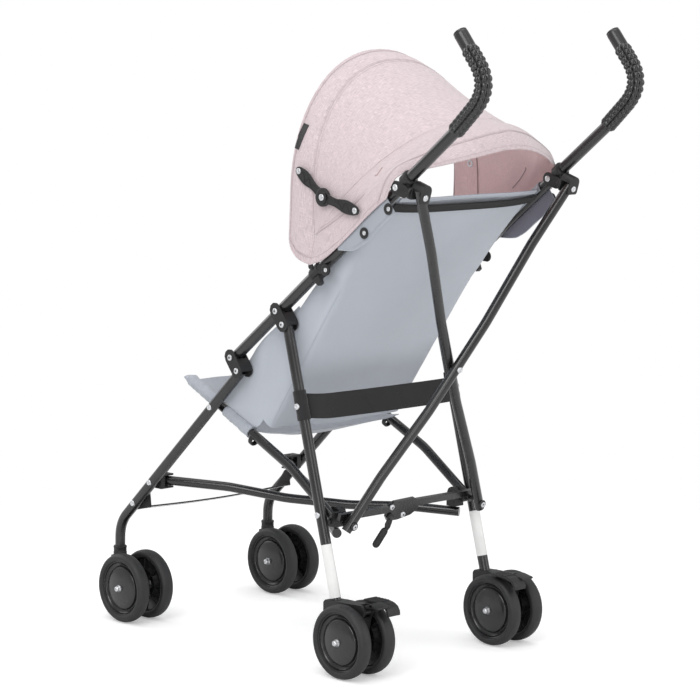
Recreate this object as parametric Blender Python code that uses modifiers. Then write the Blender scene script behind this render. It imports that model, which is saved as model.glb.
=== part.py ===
"""Lightweight stroller: two side frames joined by crossed struts that fold it sideways, a fabric seat and canopy.

Metres, +Z up. The front faces -Y, the child's left side is +X, the floor is z = 0 and the middle of the width is
x = 0. Side-view places below are written as (y, z) pairs measured from the front wheel hub, and at() shifts them.
"""

import math

import bmesh
import bpy
from mathutils import Matrix, Vector

# Overall sizes
FRAME_X = 0.176
WHEEL_R = 0.061
WHEELBASE = 0.558
MID_Y = 0.3958
PAIR_FACE = 0.040
PAIR_GAP = 0.0135

# Tubes
HANDLE_R = 0.0095
LEG_R = 0.009
RAIL_R = 0.008
STRUT_R = 0.0083
RAIL_X = 0.157

# Handle tube: where the knee rivet is, its slope, and the places of what sits on it, along it from that rivet
KNEE = Vector((0.268, 0.4943))
SLOPE = math.radians(37.9)
PIVOT_DROP = 0.0265
SHOULDER = 0.1429
CLIP = 0.2572
YOKE = 0.4958
GRIP_START = 0.642

# Legs: slopes and distances from their top pivots
FRONT_SLOPE = math.radians(43.0)
RAIL_PIN = 0.1025
FRONT_YOKE_PIN = 0.3232
FRONT_BEND = 0.4468
REAR_PIN = 0.3169
FOOT_AHEAD = 0.03592
FOOT_ABOVE = 0.03157
SWIVEL_Y = -0.0435

# Back struts: the x of their rivets at the top and the bottom
STRUT_TOP_X = 0.1717
STRUT_LOW_X = 0.1506

# Under-seat struts: x of the front and rear pivots, and how far they hang under the rear pin
UNDER_FRONT_X = 0.1455
UNDER_REAR_X = 0.140
UNDER_HANG = 0.0338

# Canopy: half width
CANOPY_X = 0.190

GAP = 0.0003
PIN_R = 0.003
HOLE_R = 0.0034

ALONG = Vector((math.cos(SLOPE), math.sin(SLOPE)))
DOWN = Vector((math.sin(SLOPE), -math.cos(SLOPE)))
FRONT_DIR = Vector((-math.cos(FRONT_SLOPE), -math.sin(FRONT_SLOPE)))


def on_handle(s, drop=0.0):
    return KNEE + ALONG * s + DOWN * drop


KNEE_PIVOT = on_handle(0.0, PIVOT_DROP)
SHOULDER_PIVOT = on_handle(SHOULDER, PIVOT_DROP)
RAIL_PIVOT = KNEE_PIVOT + FRONT_DIR * RAIL_PIN
FRONT_PIN = KNEE_PIVOT + FRONT_DIR * FRONT_YOKE_PIN
LEG_BEND = KNEE_PIVOT + FRONT_DIR * FRONT_BEND
YOKE_PIN = on_handle(YOKE)
FRONT_HUB = Vector((0.0, WHEEL_R))
REAR_HUB = Vector((WHEELBASE, WHEEL_R))

# The rear leg runs from the shoulder bracket to its socket above the rear hub
FOOT = REAR_HUB + Vector((-FOOT_AHEAD, FOOT_ABOVE))
REAR_DIR = (FOOT - SHOULDER_PIVOT).normalized()
REAR_PIVOT = SHOULDER_PIVOT + REAR_DIR * REAR_PIN

# The canopy's front hoop turns above its clip
CANOPY_PIVOT = on_handle(CLIP) + Vector((-0.00605, 0.0077))

# The plane of the back struts: BACK points out of it to the rear, LOWER runs down it
STRUT_TOP = YOKE_PIN + Vector((0.03827, -0.01156))
STRUT_LOW = REAR_PIVOT + Vector((0.04336, -0.01288))
LOWER = (STRUT_LOW - STRUT_TOP).normalized()
BACK = Vector((-LOWER.y, LOWER.x))
STRUT_RUN = (STRUT_LOW - STRUT_TOP).length


def bore(radius):
    """The radius of a twelve-sided hole that clears a round bar of this radius all round."""
    return (radius + GAP) / math.cos(math.pi / 12)


def at(x, yz):
    """A point in the part's frame from a sideways place and a side-view place."""
    return Vector((x, yz[0] - MID_Y, yz[1]))


def by_clip(y, z):
    """A side-view place measured from the canopy's pivot."""
    return CANOPY_PIVOT + Vector((y, z))


def off(base, places):
    """Side-view places typed as steps from base."""
    return [base + Vector(place) for place in places]


def behind(base, back, lower=0.0):
    """A side-view place measured from base, out of the strut plane and down it."""
    return base + BACK * back + LOWER * lower


# Scene and helpers
for old in list(bpy.data.objects):
    bpy.data.objects.remove(old, do_unlink=True)

stroller = bpy.data.collections.new("stroller")
bpy.context.scene.collection.children.link(stroller)
construction = bpy.data.collections.new("construction")
bpy.context.scene.collection.children.link(construction)


def closed(bm):
    bmesh.ops.remove_doubles(bm, verts=bm.verts, dist=1e-6)
    bmesh.ops.recalc_face_normals(bm, faces=bm.faces)
    return bm


def turn_to(direction):
    return Vector(direction).to_track_quat("Z", "Y").to_matrix().to_4x4()


def rod(start, end, radius, end_radius=None, sides=12):
    """A round bar or cone between two points."""
    bm = bmesh.new()
    run = end - start
    place = Matrix.Translation((start + end) / 2) @ turn_to(run)
    far = radius if end_radius is None else end_radius
    bmesh.ops.create_cone(
        bm, cap_ends=True, segments=sides, radius1=radius, radius2=far, depth=run.length, matrix=place
    )
    return bm


def across(x0, x1, yz, radius, sides=12, end_radius=None):
    """A round bar along X at a side-view place."""
    return rod(at(x0, yz), at(x1, yz), radius, end_radius, sides)


def rivet(x, yz, radius=0.0055, proud=0.0022, side=1, sunk=0.002):
    """A low rivet head on a face at x, pointing to that side."""
    return across(x - side * sunk, x + side * proud, yz, radius, 10, radius * 0.62)


def block(centre, size, turn=None):
    bm = bmesh.new()
    place = Matrix.Translation(centre)
    if turn is not None:
        place = place @ turn
    bmesh.ops.create_cube(bm, size=1.0, matrix=place @ Matrix.Diagonal((*size, 1.0)))
    return bm


def side_turn(direction):
    """Turns local Y to a side-view direction, keeping X."""
    angle = math.atan2(direction[1], direction[0])
    return Matrix.Rotation(angle, 4, "X")


def side_plate(outline, x0, x1):
    """A flat plate of this side-view outline between two x."""
    bm = bmesh.new()
    low = [bm.verts.new(at(x0, p)) for p in outline]
    high = [bm.verts.new(at(x1, p)) for p in outline]
    bm.faces.new(low)
    bm.faces.new(list(reversed(high)))
    for i in range(len(outline)):
        j = (i + 1) % len(outline)
        bm.faces.new((low[i], low[j], high[j], high[i]))
    return closed(bm)


def back_plate(outline, base, back0, back1):
    """A flat plate in the strut plane: outline of (x, lower) places, thick from back0 to back1."""
    bm = bmesh.new()
    low = [bm.verts.new(at(x, behind(base, back0, m))) for x, m in outline]
    high = [bm.verts.new(at(x, behind(base, back1, m))) for x, m in outline]
    bm.faces.new(low)
    bm.faces.new(list(reversed(high)))
    for i in range(len(outline)):
        j = (i + 1) % len(outline)
        bm.faces.new((low[i], low[j], high[j], high[i]))
    return closed(bm)


def capsule(a, b, radius, steps=5):
    """The side-view outline of a rounded link between two places."""
    run = (b - a).normalized()
    start = math.atan2(run.y, run.x)
    points = []
    for centre, first in ((b, start - math.pi / 2), (a, start + math.pi / 2)):
        for i in range(steps + 1):
            angle = first + math.pi * i / steps
            points.append(centre + Vector((math.cos(angle), math.sin(angle))) * radius)
    return points


def bend(points, radius, steps=4):
    """The path through these points with each corner rounded to this radius."""
    path = [points[0]]
    for before, corner, after in zip(points, points[1:], points[2:]):
        u = (before - corner).normalized()
        v = (after - corner).normalized()
        angle = math.pi - u.angle(v)
        cut = min(radius * math.tan(angle / 2), 0.49 * (before - corner).length, 0.49 * (after - corner).length)
        start = corner + u * cut
        end = corner + v * cut
        for i in range(steps + 1):
            t = i / steps
            path.append(start * (1 - t) ** 2 + corner * 2 * t * (1 - t) + end * t * t)
    path.append(points[-1])
    return path


def tube(path, radius, widths=None):
    """A bevelled curve along a path, as a closed mesh. widths scales the radius at each point."""
    curve = bpy.data.curves.new("tube", "CURVE")
    curve.dimensions = "3D"
    curve.bevel_depth = radius
    curve.bevel_resolution = 2
    curve.use_fill_caps = True
    spline = curve.splines.new("POLY")
    spline.points.add(len(path) - 1)
    for i, point in enumerate(path):
        spline.points[i].co = (*point, 1.0)
        spline.points[i].radius = 1.0 if widths is None else widths[i]
    holder = bpy.data.objects.new("tube", curve)
    mesh = bpy.data.meshes.new_from_object(holder)
    bpy.data.objects.remove(holder)
    bpy.data.curves.remove(curve)
    bm = bmesh.new()
    bm.from_mesh(mesh)
    bpy.data.meshes.remove(mesh)
    return closed(bm)


def cloth(rows, thick):
    """A closed sheet of fabric from rows of points, this thick about its middle."""
    count = len(rows[0])
    bm = bmesh.new()
    sheet = [[bm.verts.new(p) for p in row] for row in rows]
    for a, b in zip(sheet, sheet[1:]):
        for i in range(count - 1):
            bm.faces.new((a[i], a[i + 1], b[i + 1], b[i]))
    bm.normal_update()
    normals = [[v.normal.copy() for v in row] for row in sheet]
    far = [[bm.verts.new(v.co - n * thick / 2) for v, n in zip(r, m)] for r, m in zip(sheet, normals)]
    for row, m in zip(sheet, normals):
        for v, n in zip(row, m):
            v.co = v.co + n * thick / 2
    for a, b in zip(far, far[1:]):
        for i in range(count - 1):
            bm.faces.new((a[i], b[i], b[i + 1], a[i + 1]))
    rim = [(0, i) for i in range(count)]
    rim += [(r, count - 1) for r in range(1, len(rows))]
    rim += [(len(rows) - 1, i) for i in range(count - 2, -1, -1)]
    rim += [(r, 0) for r in range(len(rows) - 2, 0, -1)]
    for k, (r, c) in enumerate(rim):
        q, d = rim[(k + 1) % len(rim)]
        bm.faces.new((sheet[r][c], far[r][c], far[q][d], sheet[q][d]))
    return closed(bm)


def material(name, colour, metal=0.0, rough=0.5):
    found = bpy.data.materials.new(name)
    found.use_nodes = True
    shader = found.node_tree.nodes["Principled BSDF"]
    shader.inputs["Base Color"].default_value = (*colour, 1.0)
    shader.inputs["Metallic"].default_value = metal
    shader.inputs["Roughness"].default_value = rough
    return found


PAINT = ((0.012, 0.012, 0.013), 0.1, 0.32)
PLASTIC = ((0.016, 0.016, 0.017), 0.0, 0.55)
WEBBING = ((0.02, 0.02, 0.02), 0.0, 0.85)
GREY_CLOTH = ((0.40, 0.42, 0.46), 0.0, 0.9)
PINK_CLOTH = ((0.80, 0.19, 0.30), 0.0, 0.9)


def helper(bm, name):
    mesh = bpy.data.meshes.new(name)
    bm.to_mesh(mesh)
    bm.free()
    obj = bpy.data.objects.new(name, mesh)
    obj.hide_render = True
    obj.display_type = "WIRE"
    construction.objects.link(obj)
    return obj


def piece(name, finish, pivot, solids, cuts=()):
    """One sub-part: its solids joined, its cutters taken out, its origin on the joint axis."""
    first, *more = solids
    bmesh.ops.translate(first, verts=first.verts, vec=-pivot)
    mesh = bpy.data.meshes.new(name)
    first.to_mesh(mesh)
    first.free()
    mesh.shade_smooth()
    mesh.set_sharp_from_angle(angle=math.radians(35))
    obj = bpy.data.objects.new(name, mesh)
    obj.location = pivot
    mesh.materials.append(material(name, *finish))
    stroller.objects.link(obj)
    for kind, shapes in (("UNION", more), ("DIFFERENCE", cuts)):
        for i, bm in enumerate(shapes):
            modifier = obj.modifiers.new(f"{kind.lower()}_{i}", "BOOLEAN")
            modifier.operation = kind
            modifier.solver = "EXACT"
            modifier.object = helper(bm, f"{name}_{kind.lower()}_{i}")
    return obj


def turned(name, finish, profile, centre, outward, steps=16):
    """A turned piece: (radius, outward) profile, spun about X through centre."""
    mesh = bpy.data.meshes.new(name)
    points = [(r, 0.0, w) for r, w in profile]
    mesh.from_pydata(points, [(i, i + 1) for i in range(len(points) - 1)], [])
    mesh.materials.append(material(name, *finish))
    obj = bpy.data.objects.new(name, mesh)
    screw = obj.modifiers.new("screw", "SCREW")
    screw.steps = steps
    screw.render_steps = steps
    screw.use_merge_vertices = True
    screw.merge_threshold = 1e-5
    screw.use_smooth_shade = True
    obj.location = centre
    obj.rotation_euler = (0.0, math.pi / 2 * outward, 0.0)
    stroller.objects.link(obj)
    return obj


# Shapes used on both sides
def channel(s, side):
    """A bracket that straddles the handle tube and holds a leg below it: two cheeks and a web at the rear."""
    top = on_handle(s, -0.002)
    low = on_handle(s, PIVOT_DROP)
    body = side_plate(capsule(top, low, 0.0125), side * (FRAME_X - 0.0130), side * (FRAME_X + 0.0130))
    width = 0.0204
    slot_turn = side_turn(ALONG)
    passage = block(at(side * FRAME_X, on_handle(s, -0.0095)), (width, 0.06, 0.040), slot_turn)
    leg_room = block(at(side * FRAME_X, on_handle(s - 0.0205, 0.030)), (width, 0.06, 0.045), slot_turn)
    pin = across(side * (FRAME_X - 0.012), side * (FRAME_X + 0.012), low, PIN_R)
    heads = []
    for spot in (on_handle(s), low):
        heads.append(rivet(side * (FRAME_X + 0.0130), spot, side=side))
    return body, pin, heads, (passage, leg_room)


def wheel(name, side, hub, outward):
    middle = side * FRAME_X
    inner = PAIR_GAP + 0.0008
    profile = [
        (0.0, 0.0462),
        (0.0068, 0.0380),
        (0.0380, 0.0320),
        (0.0395, 0.0270),
        (0.0480, 0.0270),
        (0.0520, PAIR_FACE - 0.0005),
        (WHEEL_R - 0.0012, 0.0340),
        (WHEEL_R, 0.0265),
        (WHEEL_R - 0.0014, 0.0190),
        (0.0525, inner),
        (0.0480, 0.0235),
        (0.0125, 0.0235),
        (0.0110, inner),
        (0.0045, inner),
        (0.0045, 0.0375),
        (0.0, 0.0375),
    ]
    return turned(name, PLASTIC, profile, at(middle, hub), outward)


for side, name in ((1, "left"), (-1, "right")):
    fx = side * FRAME_X

    def x(offset):
        return side * offset

    # Handle tube with its butt at the knee cut clear of the leg's swing, and the ribbed grip that ends it
    start = on_handle(-0.0115)
    grip_at = on_handle(GRIP_START)
    leg_end = KNEE_PIVOT + Vector((math.cos(math.radians(165)), math.sin(math.radians(165)))) * 0.03
    swing = capsule(KNEE_PIVOT, leg_end, LEG_R + 0.0006)
    piece(
        f"handle_tube_{name}",
        PAINT,
        at(fx, KNEE),
        [
            tube([at(fx, start), at(fx, grip_at)], HANDLE_R),
            across(x(FRAME_X - 0.0140), x(FRAME_X + 0.0140), YOKE_PIN, PIN_R),
            across(x(FRAME_X + 0.0150), x(FRAME_X + 0.0131), YOKE_PIN, 0.0055),
            across(x(FRAME_X - 0.0150), x(FRAME_X - 0.0131), YOKE_PIN, 0.0055),
        ],
        [side_plate(swing, x(FRAME_X - 0.02), x(FRAME_X + 0.02))],
    )
    corner = Vector((0.8500, 0.9580))
    hook = bend([at(fx, grip_at + ALONG * 0.0009), at(fx, corner), at(fx, (0.7832, 1.0402))], 0.040, 6)
    stations = []
    for a, b in zip(hook, hook[1:]):
        count = max(1, round((b - a).length / 0.0072))
        stations += [a + (b - a) * i / count for i in range(count)]
    stations.append(hook[-1])
    ribs = [1.0 if i % 2 else 0.84 for i in range(len(stations))]
    ribs[-1] = 0.8
    piece(f"hand_grip_{name}", PLASTIC, at(fx, grip_at), [tube(stations, 0.0155, ribs)])

    # Brackets on the handle tube for the two legs
    for part, place in (("knee_bracket", 0.0), ("shoulder_bracket", SHOULDER)):
        body, pin, heads, cuts = channel(place, side)
        base = piece(f"{part}_{name}", PLASTIC, at(fx, on_handle(place, PIVOT_DROP)), [body], cuts)
        for i, extra in enumerate([pin, *heads]):
            modifier = base.modifiers.new(f"rivet_{i}", "BOOLEAN")
            modifier.operation = "UNION"
            modifier.solver = "EXACT"
            modifier.object = helper(extra, f"{part}_{name}_rivet_{i}")

    # Clip that holds the canopy's front hoop, with its lever under the tube
    clip = on_handle(CLIP)
    lever = [on_handle(CLIP - 0.010, 0.008), on_handle(CLIP + 0.008, 0.010), on_handle(CLIP + 0.004, 0.024)]
    lever.append(on_handle(CLIP - 0.003, 0.024))
    piece(
        f"canopy_clip_{name}",
        PLASTIC,
        at(fx, clip),
        [
            rod(at(fx, on_handle(CLIP - 0.011)), at(fx, on_handle(CLIP + 0.011)), 0.0128),
            side_plate(lever, x(FRAME_X + 0.0040), x(FRAME_X + 0.0125)),
            across(x(FRAME_X + 0.0105), x(CANOPY_X - 0.0016), CANOPY_PIVOT + Vector((0.0, 0.0020)), 0.0055),
        ],
        [rod(at(fx, on_handle(CLIP - 0.03)), at(fx, on_handle(CLIP + 0.03)), bore(HANDLE_R))],
    )

    # Yoke that straddles the handle tube and takes the top of a back strut
    tx = x(STRUT_TOP_X)
    near, far, lip = x(FRAME_X - 0.0155), x(FRAME_X + 0.0128), x(STRUT_TOP_X + 0.0112)
    bridge = [(near, -0.011), (far, -0.011), (far, 0.011), (near, 0.011)]
    leaf = [(near, -0.0205), (lip, -0.0205), (lip, 0.0100), (near, 0.0100)]
    roof = [(near, -0.0205), (lip, -0.0205), (lip, -0.0178), (near, -0.0178)]
    link = capsule(YOKE_PIN, YOKE_PIN + BACK * 0.0180, 0.0105)
    outer_link = side_plate(link, x(FRAME_X + 0.0100), x(FRAME_X + 0.0128))
    inner_link = side_plate(link, x(FRAME_X - 0.0128), x(FRAME_X - 0.0100))
    piece(
        f"top_yoke_{name}",
        PLASTIC,
        at(fx, YOKE_PIN),
        [
            back_plate(bridge, STRUT_TOP, -0.0180, -0.0088),
            outer_link,
            inner_link,
            back_plate(leaf, STRUT_TOP, -0.0118, -0.0086),
            back_plate(leaf, STRUT_TOP, 0.0086, 0.0112),
            back_plate(roof, STRUT_TOP, -0.0100, 0.0100),
            rod(at(tx, behind(STRUT_TOP, -0.0110)), at(tx, behind(STRUT_TOP, 0.0110)), PIN_R),
            rod(at(tx, behind(STRUT_TOP, 0.0100)), at(tx, behind(STRUT_TOP, 0.0134)), 0.0058, 0.004, 12),
        ],
        [
            across(x(FRAME_X + 0.0080), x(FRAME_X + 0.0160), YOKE_PIN, HOLE_R),
            across(x(FRAME_X - 0.0160), x(FRAME_X - 0.0080), YOKE_PIN, HOLE_R),
        ],
    )

    # Front leg with its ferrule, the rail's rivet and the pin of the front yoke
    path = bend([at(fx, KNEE_PIVOT), at(fx, LEG_BEND), at(fx, (SWIVEL_Y, 0.114))], 0.080, 5)
    web_rivet = KNEE_PIVOT + FRONT_DIR * 0.3860
    piece(
        f"front_leg_{name}",
        PAINT,
        at(fx, KNEE_PIVOT),
        [
            tube(path, LEG_R),
            across(x(FRAME_X - 0.0086), x(FRAME_X + 0.0086), KNEE_PIVOT, LEG_R - 0.0001),
            across(x(FRAME_X - 0.0106), x(FRAME_X - 0.0060), RAIL_PIVOT, 0.0065, 12),
            rivet(x(FRAME_X + 0.0082), RAIL_PIVOT, side=side),
            across(x(0.1585), x(FRAME_X), FRONT_PIN, PIN_R),
            rivet(x(FRAME_X + 0.0082), FRONT_PIN, side=side),
            rivet(x(FRAME_X + 0.0082), web_rivet, side=side),
            rod(at(fx, (SWIVEL_Y, 0.1120)), at(fx, (SWIVEL_Y, 0.1275)), 0.0118),
        ],
        [across(x(FRAME_X - 0.012), x(FRAME_X + 0.012), KNEE_PIVOT, HOLE_R)],
    )

    # Rear leg with the pin that the rail and both rear yokes turn on
    piece(
        f"rear_leg_{name}",
        PAINT,
        at(fx, SHOULDER_PIVOT),
        [
            tube([at(fx, SHOULDER_PIVOT), at(fx, FOOT)], LEG_R),
            across(x(FRAME_X - 0.0086), x(FRAME_X + 0.0086), SHOULDER_PIVOT, LEG_R - 0.0001),
            across(x(0.1262), x(FRAME_X), REAR_PIVOT, PIN_R),
            across(x(0.1258), x(0.1282), REAR_PIVOT, 0.0058, 12),
            rivet(x(FRAME_X + 0.0082), REAR_PIVOT, side=side),
        ],
        [across(x(FRAME_X - 0.012), x(FRAME_X + 0.012), SHOULDER_PIVOT, HOLE_R)],
    )

    # Seat rail, inside both legs, turning on the rear leg's pin
    rx = x(RAIL_X)
    tip = Vector((0.134, 0.440))
    elbow = Vector((0.385, 0.320))
    end = REAR_PIVOT + (REAR_PIVOT - elbow).normalized() * 0.0085
    rail = bend([at(rx, tip), at(rx, RAIL_PIVOT), at(rx, elbow), at(rx, end)], 0.15, 3)
    piece(
        f"seat_rail_{name}",
        PAINT,
        at(rx, REAR_PIVOT),
        [tube(rail, RAIL_R), rod(at(rx, (0.297, 0.3535)), at(rx, (0.290, 0.3570)), 0.0105)],
        [across(x(0.140), x(0.170), REAR_PIVOT, HOLE_R)],
    )

    # Rear yoke: turns on the rear pin and carries the pin of a back strut and of the crossbar
    sx = x(STRUT_LOW_X)
    lug = capsule(REAR_PIVOT, REAR_PIVOT + BACK * 0.0085, 0.0105)
    boss = [(x(0.1400), -0.011), (x(0.1662), -0.011), (x(0.1662), 0.010), (x(0.1400), 0.010)]
    piece(
        f"rear_yoke_{name}",
        PLASTIC,
        at(x(0.144), REAR_PIVOT),
        [
            side_plate(lug, x(0.1400), x(0.1486)),
            back_plate(boss, REAR_PIVOT, 0.0150, 0.0195),
            rod(at(sx, behind(REAR_PIVOT, 0.0180, -0.001)), at(sx, behind(REAR_PIVOT, 0.0555, -0.001)), PIN_R),
            rod(
                at(sx, behind(REAR_PIVOT, 0.0544, -0.001)),
                at(sx, behind(REAR_PIVOT, 0.0572, -0.001)),
                0.0078,
                0.0060,
                12,
            ),
        ],
        [across(x(0.130), x(0.160), REAR_PIVOT, HOLE_R)],
    )

    # Lower yoke: turns on the same pin and hangs the rear end of an under-seat strut
    ux = x(UNDER_REAR_X)
    hang = REAR_PIVOT.y - UNDER_HANG + RAIL_R + 0.0022
    ear = capsule(REAR_PIVOT, Vector((REAR_PIVOT.x - 0.002, hang + 0.0105)), 0.0098)
    piece(
        f"lower_yoke_{name}",
        PLASTIC,
        at(x(0.134), REAR_PIVOT),
        [
            side_plate(ear, x(0.1288), x(0.1396)),
            block(at(ux, (REAR_PIVOT.x - 0.002, hang + 0.0055)), (0.0220, 0.019, 0.011)),
        ],
        [
            across(x(0.120), x(0.150), REAR_PIVOT, HOLE_R),
            across(x(0.1398), x(0.160), REAR_PIVOT, 0.0120),
        ],
    )

    # Front yoke: turns on the front leg's pin and holds the front end of an under-seat strut
    vx = x(UNDER_FRONT_X)
    jaw = 0.0220
    piece(
        f"front_yoke_{name}",
        PLASTIC,
        at(x(0.160), FRONT_PIN),
        [
            block(at(x(0.1614), FRONT_PIN), (0.0096, jaw, 0.0252)),
            block(at(x(0.1505), FRONT_PIN + Vector((0, 0.0110))), (0.0260, jaw, 0.0032)),
            block(at(x(0.1505), FRONT_PIN - Vector((0, 0.0110))), (0.0260, jaw, 0.0032)),
            rod(at(vx, FRONT_PIN - Vector((0, 0.0140))), at(vx, FRONT_PIN + Vector((0, 0.0140))), 0.0026, sides=12),
        ],
        [across(x(0.1575), x(0.1700), FRONT_PIN, HOLE_R)],
    )

    # Front caster: collar, trailing arm and axle, then its two wheels
    arm = [(-0.0555, 0.1100), (-0.0300, 0.1100), (-0.006, 0.0860), (0.0105, 0.0740), (0.0130, 0.0600)]
    arm += [(0.0080, 0.0500), (-0.0080, 0.0500), (-0.0350, 0.0760), (-0.0555, 0.0960)]
    piece(
        f"caster_{name}",
        PLASTIC,
        at(fx, (SWIVEL_Y, 0.1117)),
        [
            side_plate([Vector(p) for p in arm], x(FRAME_X - 0.0110), x(FRAME_X + 0.0110)),
            rod(at(fx, (SWIVEL_Y, 0.0900)), at(fx, (SWIVEL_Y, 0.1117)), 0.0125),
            across(x(FRAME_X - 0.0372), x(FRAME_X + 0.0372), FRONT_HUB, 0.0040, 12),
        ],
    )
    wheel(f"front_wheel_outer_{name}", side, FRONT_HUB, side)
    wheel(f"front_wheel_inner_{name}", side, FRONT_HUB, -side)

    # Rear housing on the leg's foot, with its axle, two wheels and the brake pedal
    shell = [(-0.0600, 0.0350), (-0.0600, WHEEL_R - 0.0070), (-0.0560, WHEEL_R - 0.0025)]
    shell += [(-0.0270, WHEEL_R - 0.0010), (-0.0100, WHEEL_R - 0.0010), (0.0280, WHEEL_R + 0.0010)]
    shell += [(0.0370, WHEEL_R - 0.0080), (0.0280, WHEEL_R - 0.0240), (0.0180, -0.0050), (0.0060, -0.0140)]
    shell += [(-0.0140, -0.0140), (-0.0420, 0.0090)]
    pedal_pin = REAR_HUB + Vector((0.0280, WHEEL_R - 0.0100))
    socket_end = FOOT + REAR_DIR * GAP
    piece(
        f"rear_housing_{name}",
        PLASTIC,
        at(fx, REAR_HUB),
        [
            side_plate(off(REAR_HUB, shell), x(FRAME_X - 0.0125), x(FRAME_X + 0.0125)),
            across(x(FRAME_X - 0.0372), x(FRAME_X + 0.0372), REAR_HUB, 0.0040, 12),
        ],
        [
            rod(at(fx, socket_end), at(fx, socket_end - REAR_DIR * 0.06), bore(LEG_R)),
            block(at(fx, pedal_pin + Vector((0.004, 0.002))), (0.0140, 0.0235, 0.0250)),
            across(x(FRAME_X - 0.0105), x(FRAME_X + 0.0105), pedal_pin, 0.0026, 12),
        ],
    )
    wheel(f"rear_wheel_outer_{name}", side, REAR_HUB, side)
    wheel(f"rear_wheel_inner_{name}", side, REAR_HUB, -side)
    neck = [(0.0025, 0.0050), (0.0200, 0.0085), (0.0200, 0.0155), (0.0025, 0.0102), (-0.0020, 0.0060)]
    bridge = [(0.0125, 0.0100), (0.0330, 0.0065), (0.0365, 0.0110), (0.0140, 0.0155)]
    cover = [(-0.0200, 0.0118), (0.0130, 0.0105), (0.0312, 0.0062), (0.0340, -0.0040), (0.0345, -0.0160)]
    cover += [(0.0385, -0.0160), (0.0392, -0.0020), (0.0375, 0.0095), (0.0300, 0.0140), (0.0140, 0.0160)]
    cover += [(-0.0200, 0.0155)]
    piece(
        f"brake_pedal_{name}",
        PLASTIC,
        at(fx, pedal_pin),
        [
            across(x(FRAME_X - 0.0066), x(FRAME_X + 0.0066), pedal_pin, 0.0058),
            across(x(FRAME_X - 0.0100), x(FRAME_X + 0.0100), pedal_pin, 0.0022, 12),
            side_plate(off(pedal_pin, neck), x(FRAME_X - 0.0064), x(FRAME_X + 0.0064)),
            side_plate(off(pedal_pin, bridge), x(FRAME_X - 0.0200), x(FRAME_X + 0.0064)),
            side_plate(off(pedal_pin, cover), x(FRAME_X - 0.0405), x(FRAME_X - 0.0136)),
        ],
    )

    # Canopy stay: two arms that meet at a hub and break to let the canopy fold
    front_rivet = by_clip(-0.0191, 0.1549)
    hub = by_clip(0.0383, 0.1158)
    rear_rivet = by_clip(0.1148, 0.0987)
    piece(
        f"stay_front_{name}",
        PLASTIC,
        at(x(0.196), front_rivet),
        [
            side_plate(capsule(front_rivet, hub, 0.0068), x(0.1942), x(0.1970)),
            across(x(0.1942), x(0.1970), hub, 0.0140),
            rivet(x(0.1968), front_rivet, 0.0045, side=side, sunk=0.001),
        ],
    )
    piece(
        f"stay_rear_{name}",
        PLASTIC,
        at(x(0.199), rear_rivet),
        [
            side_plate(capsule(rear_rivet, hub, 0.0068), x(0.1974), x(0.2002)),
            across(x(0.1974), x(0.2002), hub, 0.0150),
            across(x(0.1938), x(0.1976), rear_rivet, 0.0055),
            rivet(x(0.2000), rear_rivet, 0.0045, side=side, sunk=0.001),
            rivet(x(0.2000), hub, 0.0050, side=side, sunk=0.001),
        ],
    )

# Back struts: each runs from one shoulder to the other side's rear yoke and bows out of the plane where they cross
for part, side, bow in (("back_strut_a", 1, -1), ("back_strut_b", -1, 1)):
    top_x = side * STRUT_TOP_X
    low_x = -side * STRUT_LOW_X
    share = 0.0118 / STRUT_RUN

    def strut(t, back):
        return at(top_x + (low_x - top_x) * t, behind(STRUT_TOP, back * bow, STRUT_RUN * t))

    steps = ((-share, 0.0), (0.17, 0.0), (0.40, 0.0090), (0.66, 0.0090), (0.86, 0.0), (1 + share, 0.0))
    line = bend([strut(t, b) for t, b in steps], 0.25, 1)
    cross = top_x / (top_x - low_x)
    centre = strut(cross, 0.0090)
    out = (at(0.0, BACK) - at(0.0, (0.0, 0.0))).normalized()
    if bow > 0:
        boss = rod(centre + out * 0.0070, centre + out * 0.0105, 0.0070, 0.0048, 12)
    else:
        boss = rod(centre + out * 0.0050, centre + out * 0.0092, 0.0090, None, 12)
    upper = at(top_x, STRUT_TOP)
    lower = at(low_x, STRUT_LOW)
    piece(
        part,
        PAINT,
        upper,
        [tube(line, STRUT_R), boss],
        [
            rod(upper - out * 0.012, upper + out * 0.012, HOLE_R),
            rod(lower - out * 0.012, lower + out * 0.012, 0.0056),
        ],
    )

# Under-seat struts: crossed under the seat, front ends in the front yokes, rear ends hung under the lower yokes
for part, side, rise in (("under_strut_a", 1, -1), ("under_strut_b", -1, 1)):
    start = at(side * UNDER_FRONT_X, FRONT_PIN)
    end = at(-side * UNDER_REAR_X, (REAR_PIVOT.x - 0.002, REAR_PIVOT.y - UNDER_HANG))
    run = end - start
    share = 0.0078 / run.length

    def under(t, lift):
        return start + run * t + Vector((0.0, 0.0, lift * rise))

    steps = ((-share, 0.0), (0.22, 0.0), (0.42, 0.0088), (0.64, 0.0088), (0.84, 0.0), (1 + share, 0.0))
    line = bend([under(t, lift) for t, lift in steps], 0.25, 1)
    centre = under(UNDER_FRONT_X / (UNDER_FRONT_X + UNDER_REAR_X), 0.0088)
    up = Vector((0.0, 0.0, 1.0))
    if rise > 0:
        boss = rod(centre + up * 0.0060, centre + up * 0.0102, 0.0065, 0.0045, 12)
    else:
        boss = rod(centre + up * 0.0050, centre + up * 0.0090, 0.0080, None, 12)
    head = rod(end - up * 0.0065, end - up * 0.0102, 0.0060, 0.0045, 12)
    piece(
        part,
        PAINT,
        start,
        [tube(line, RAIL_R), boss, head],
        [rod(start - up * 0.012, start + up * 0.012, 0.0031, sides=12)],
    )

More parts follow.
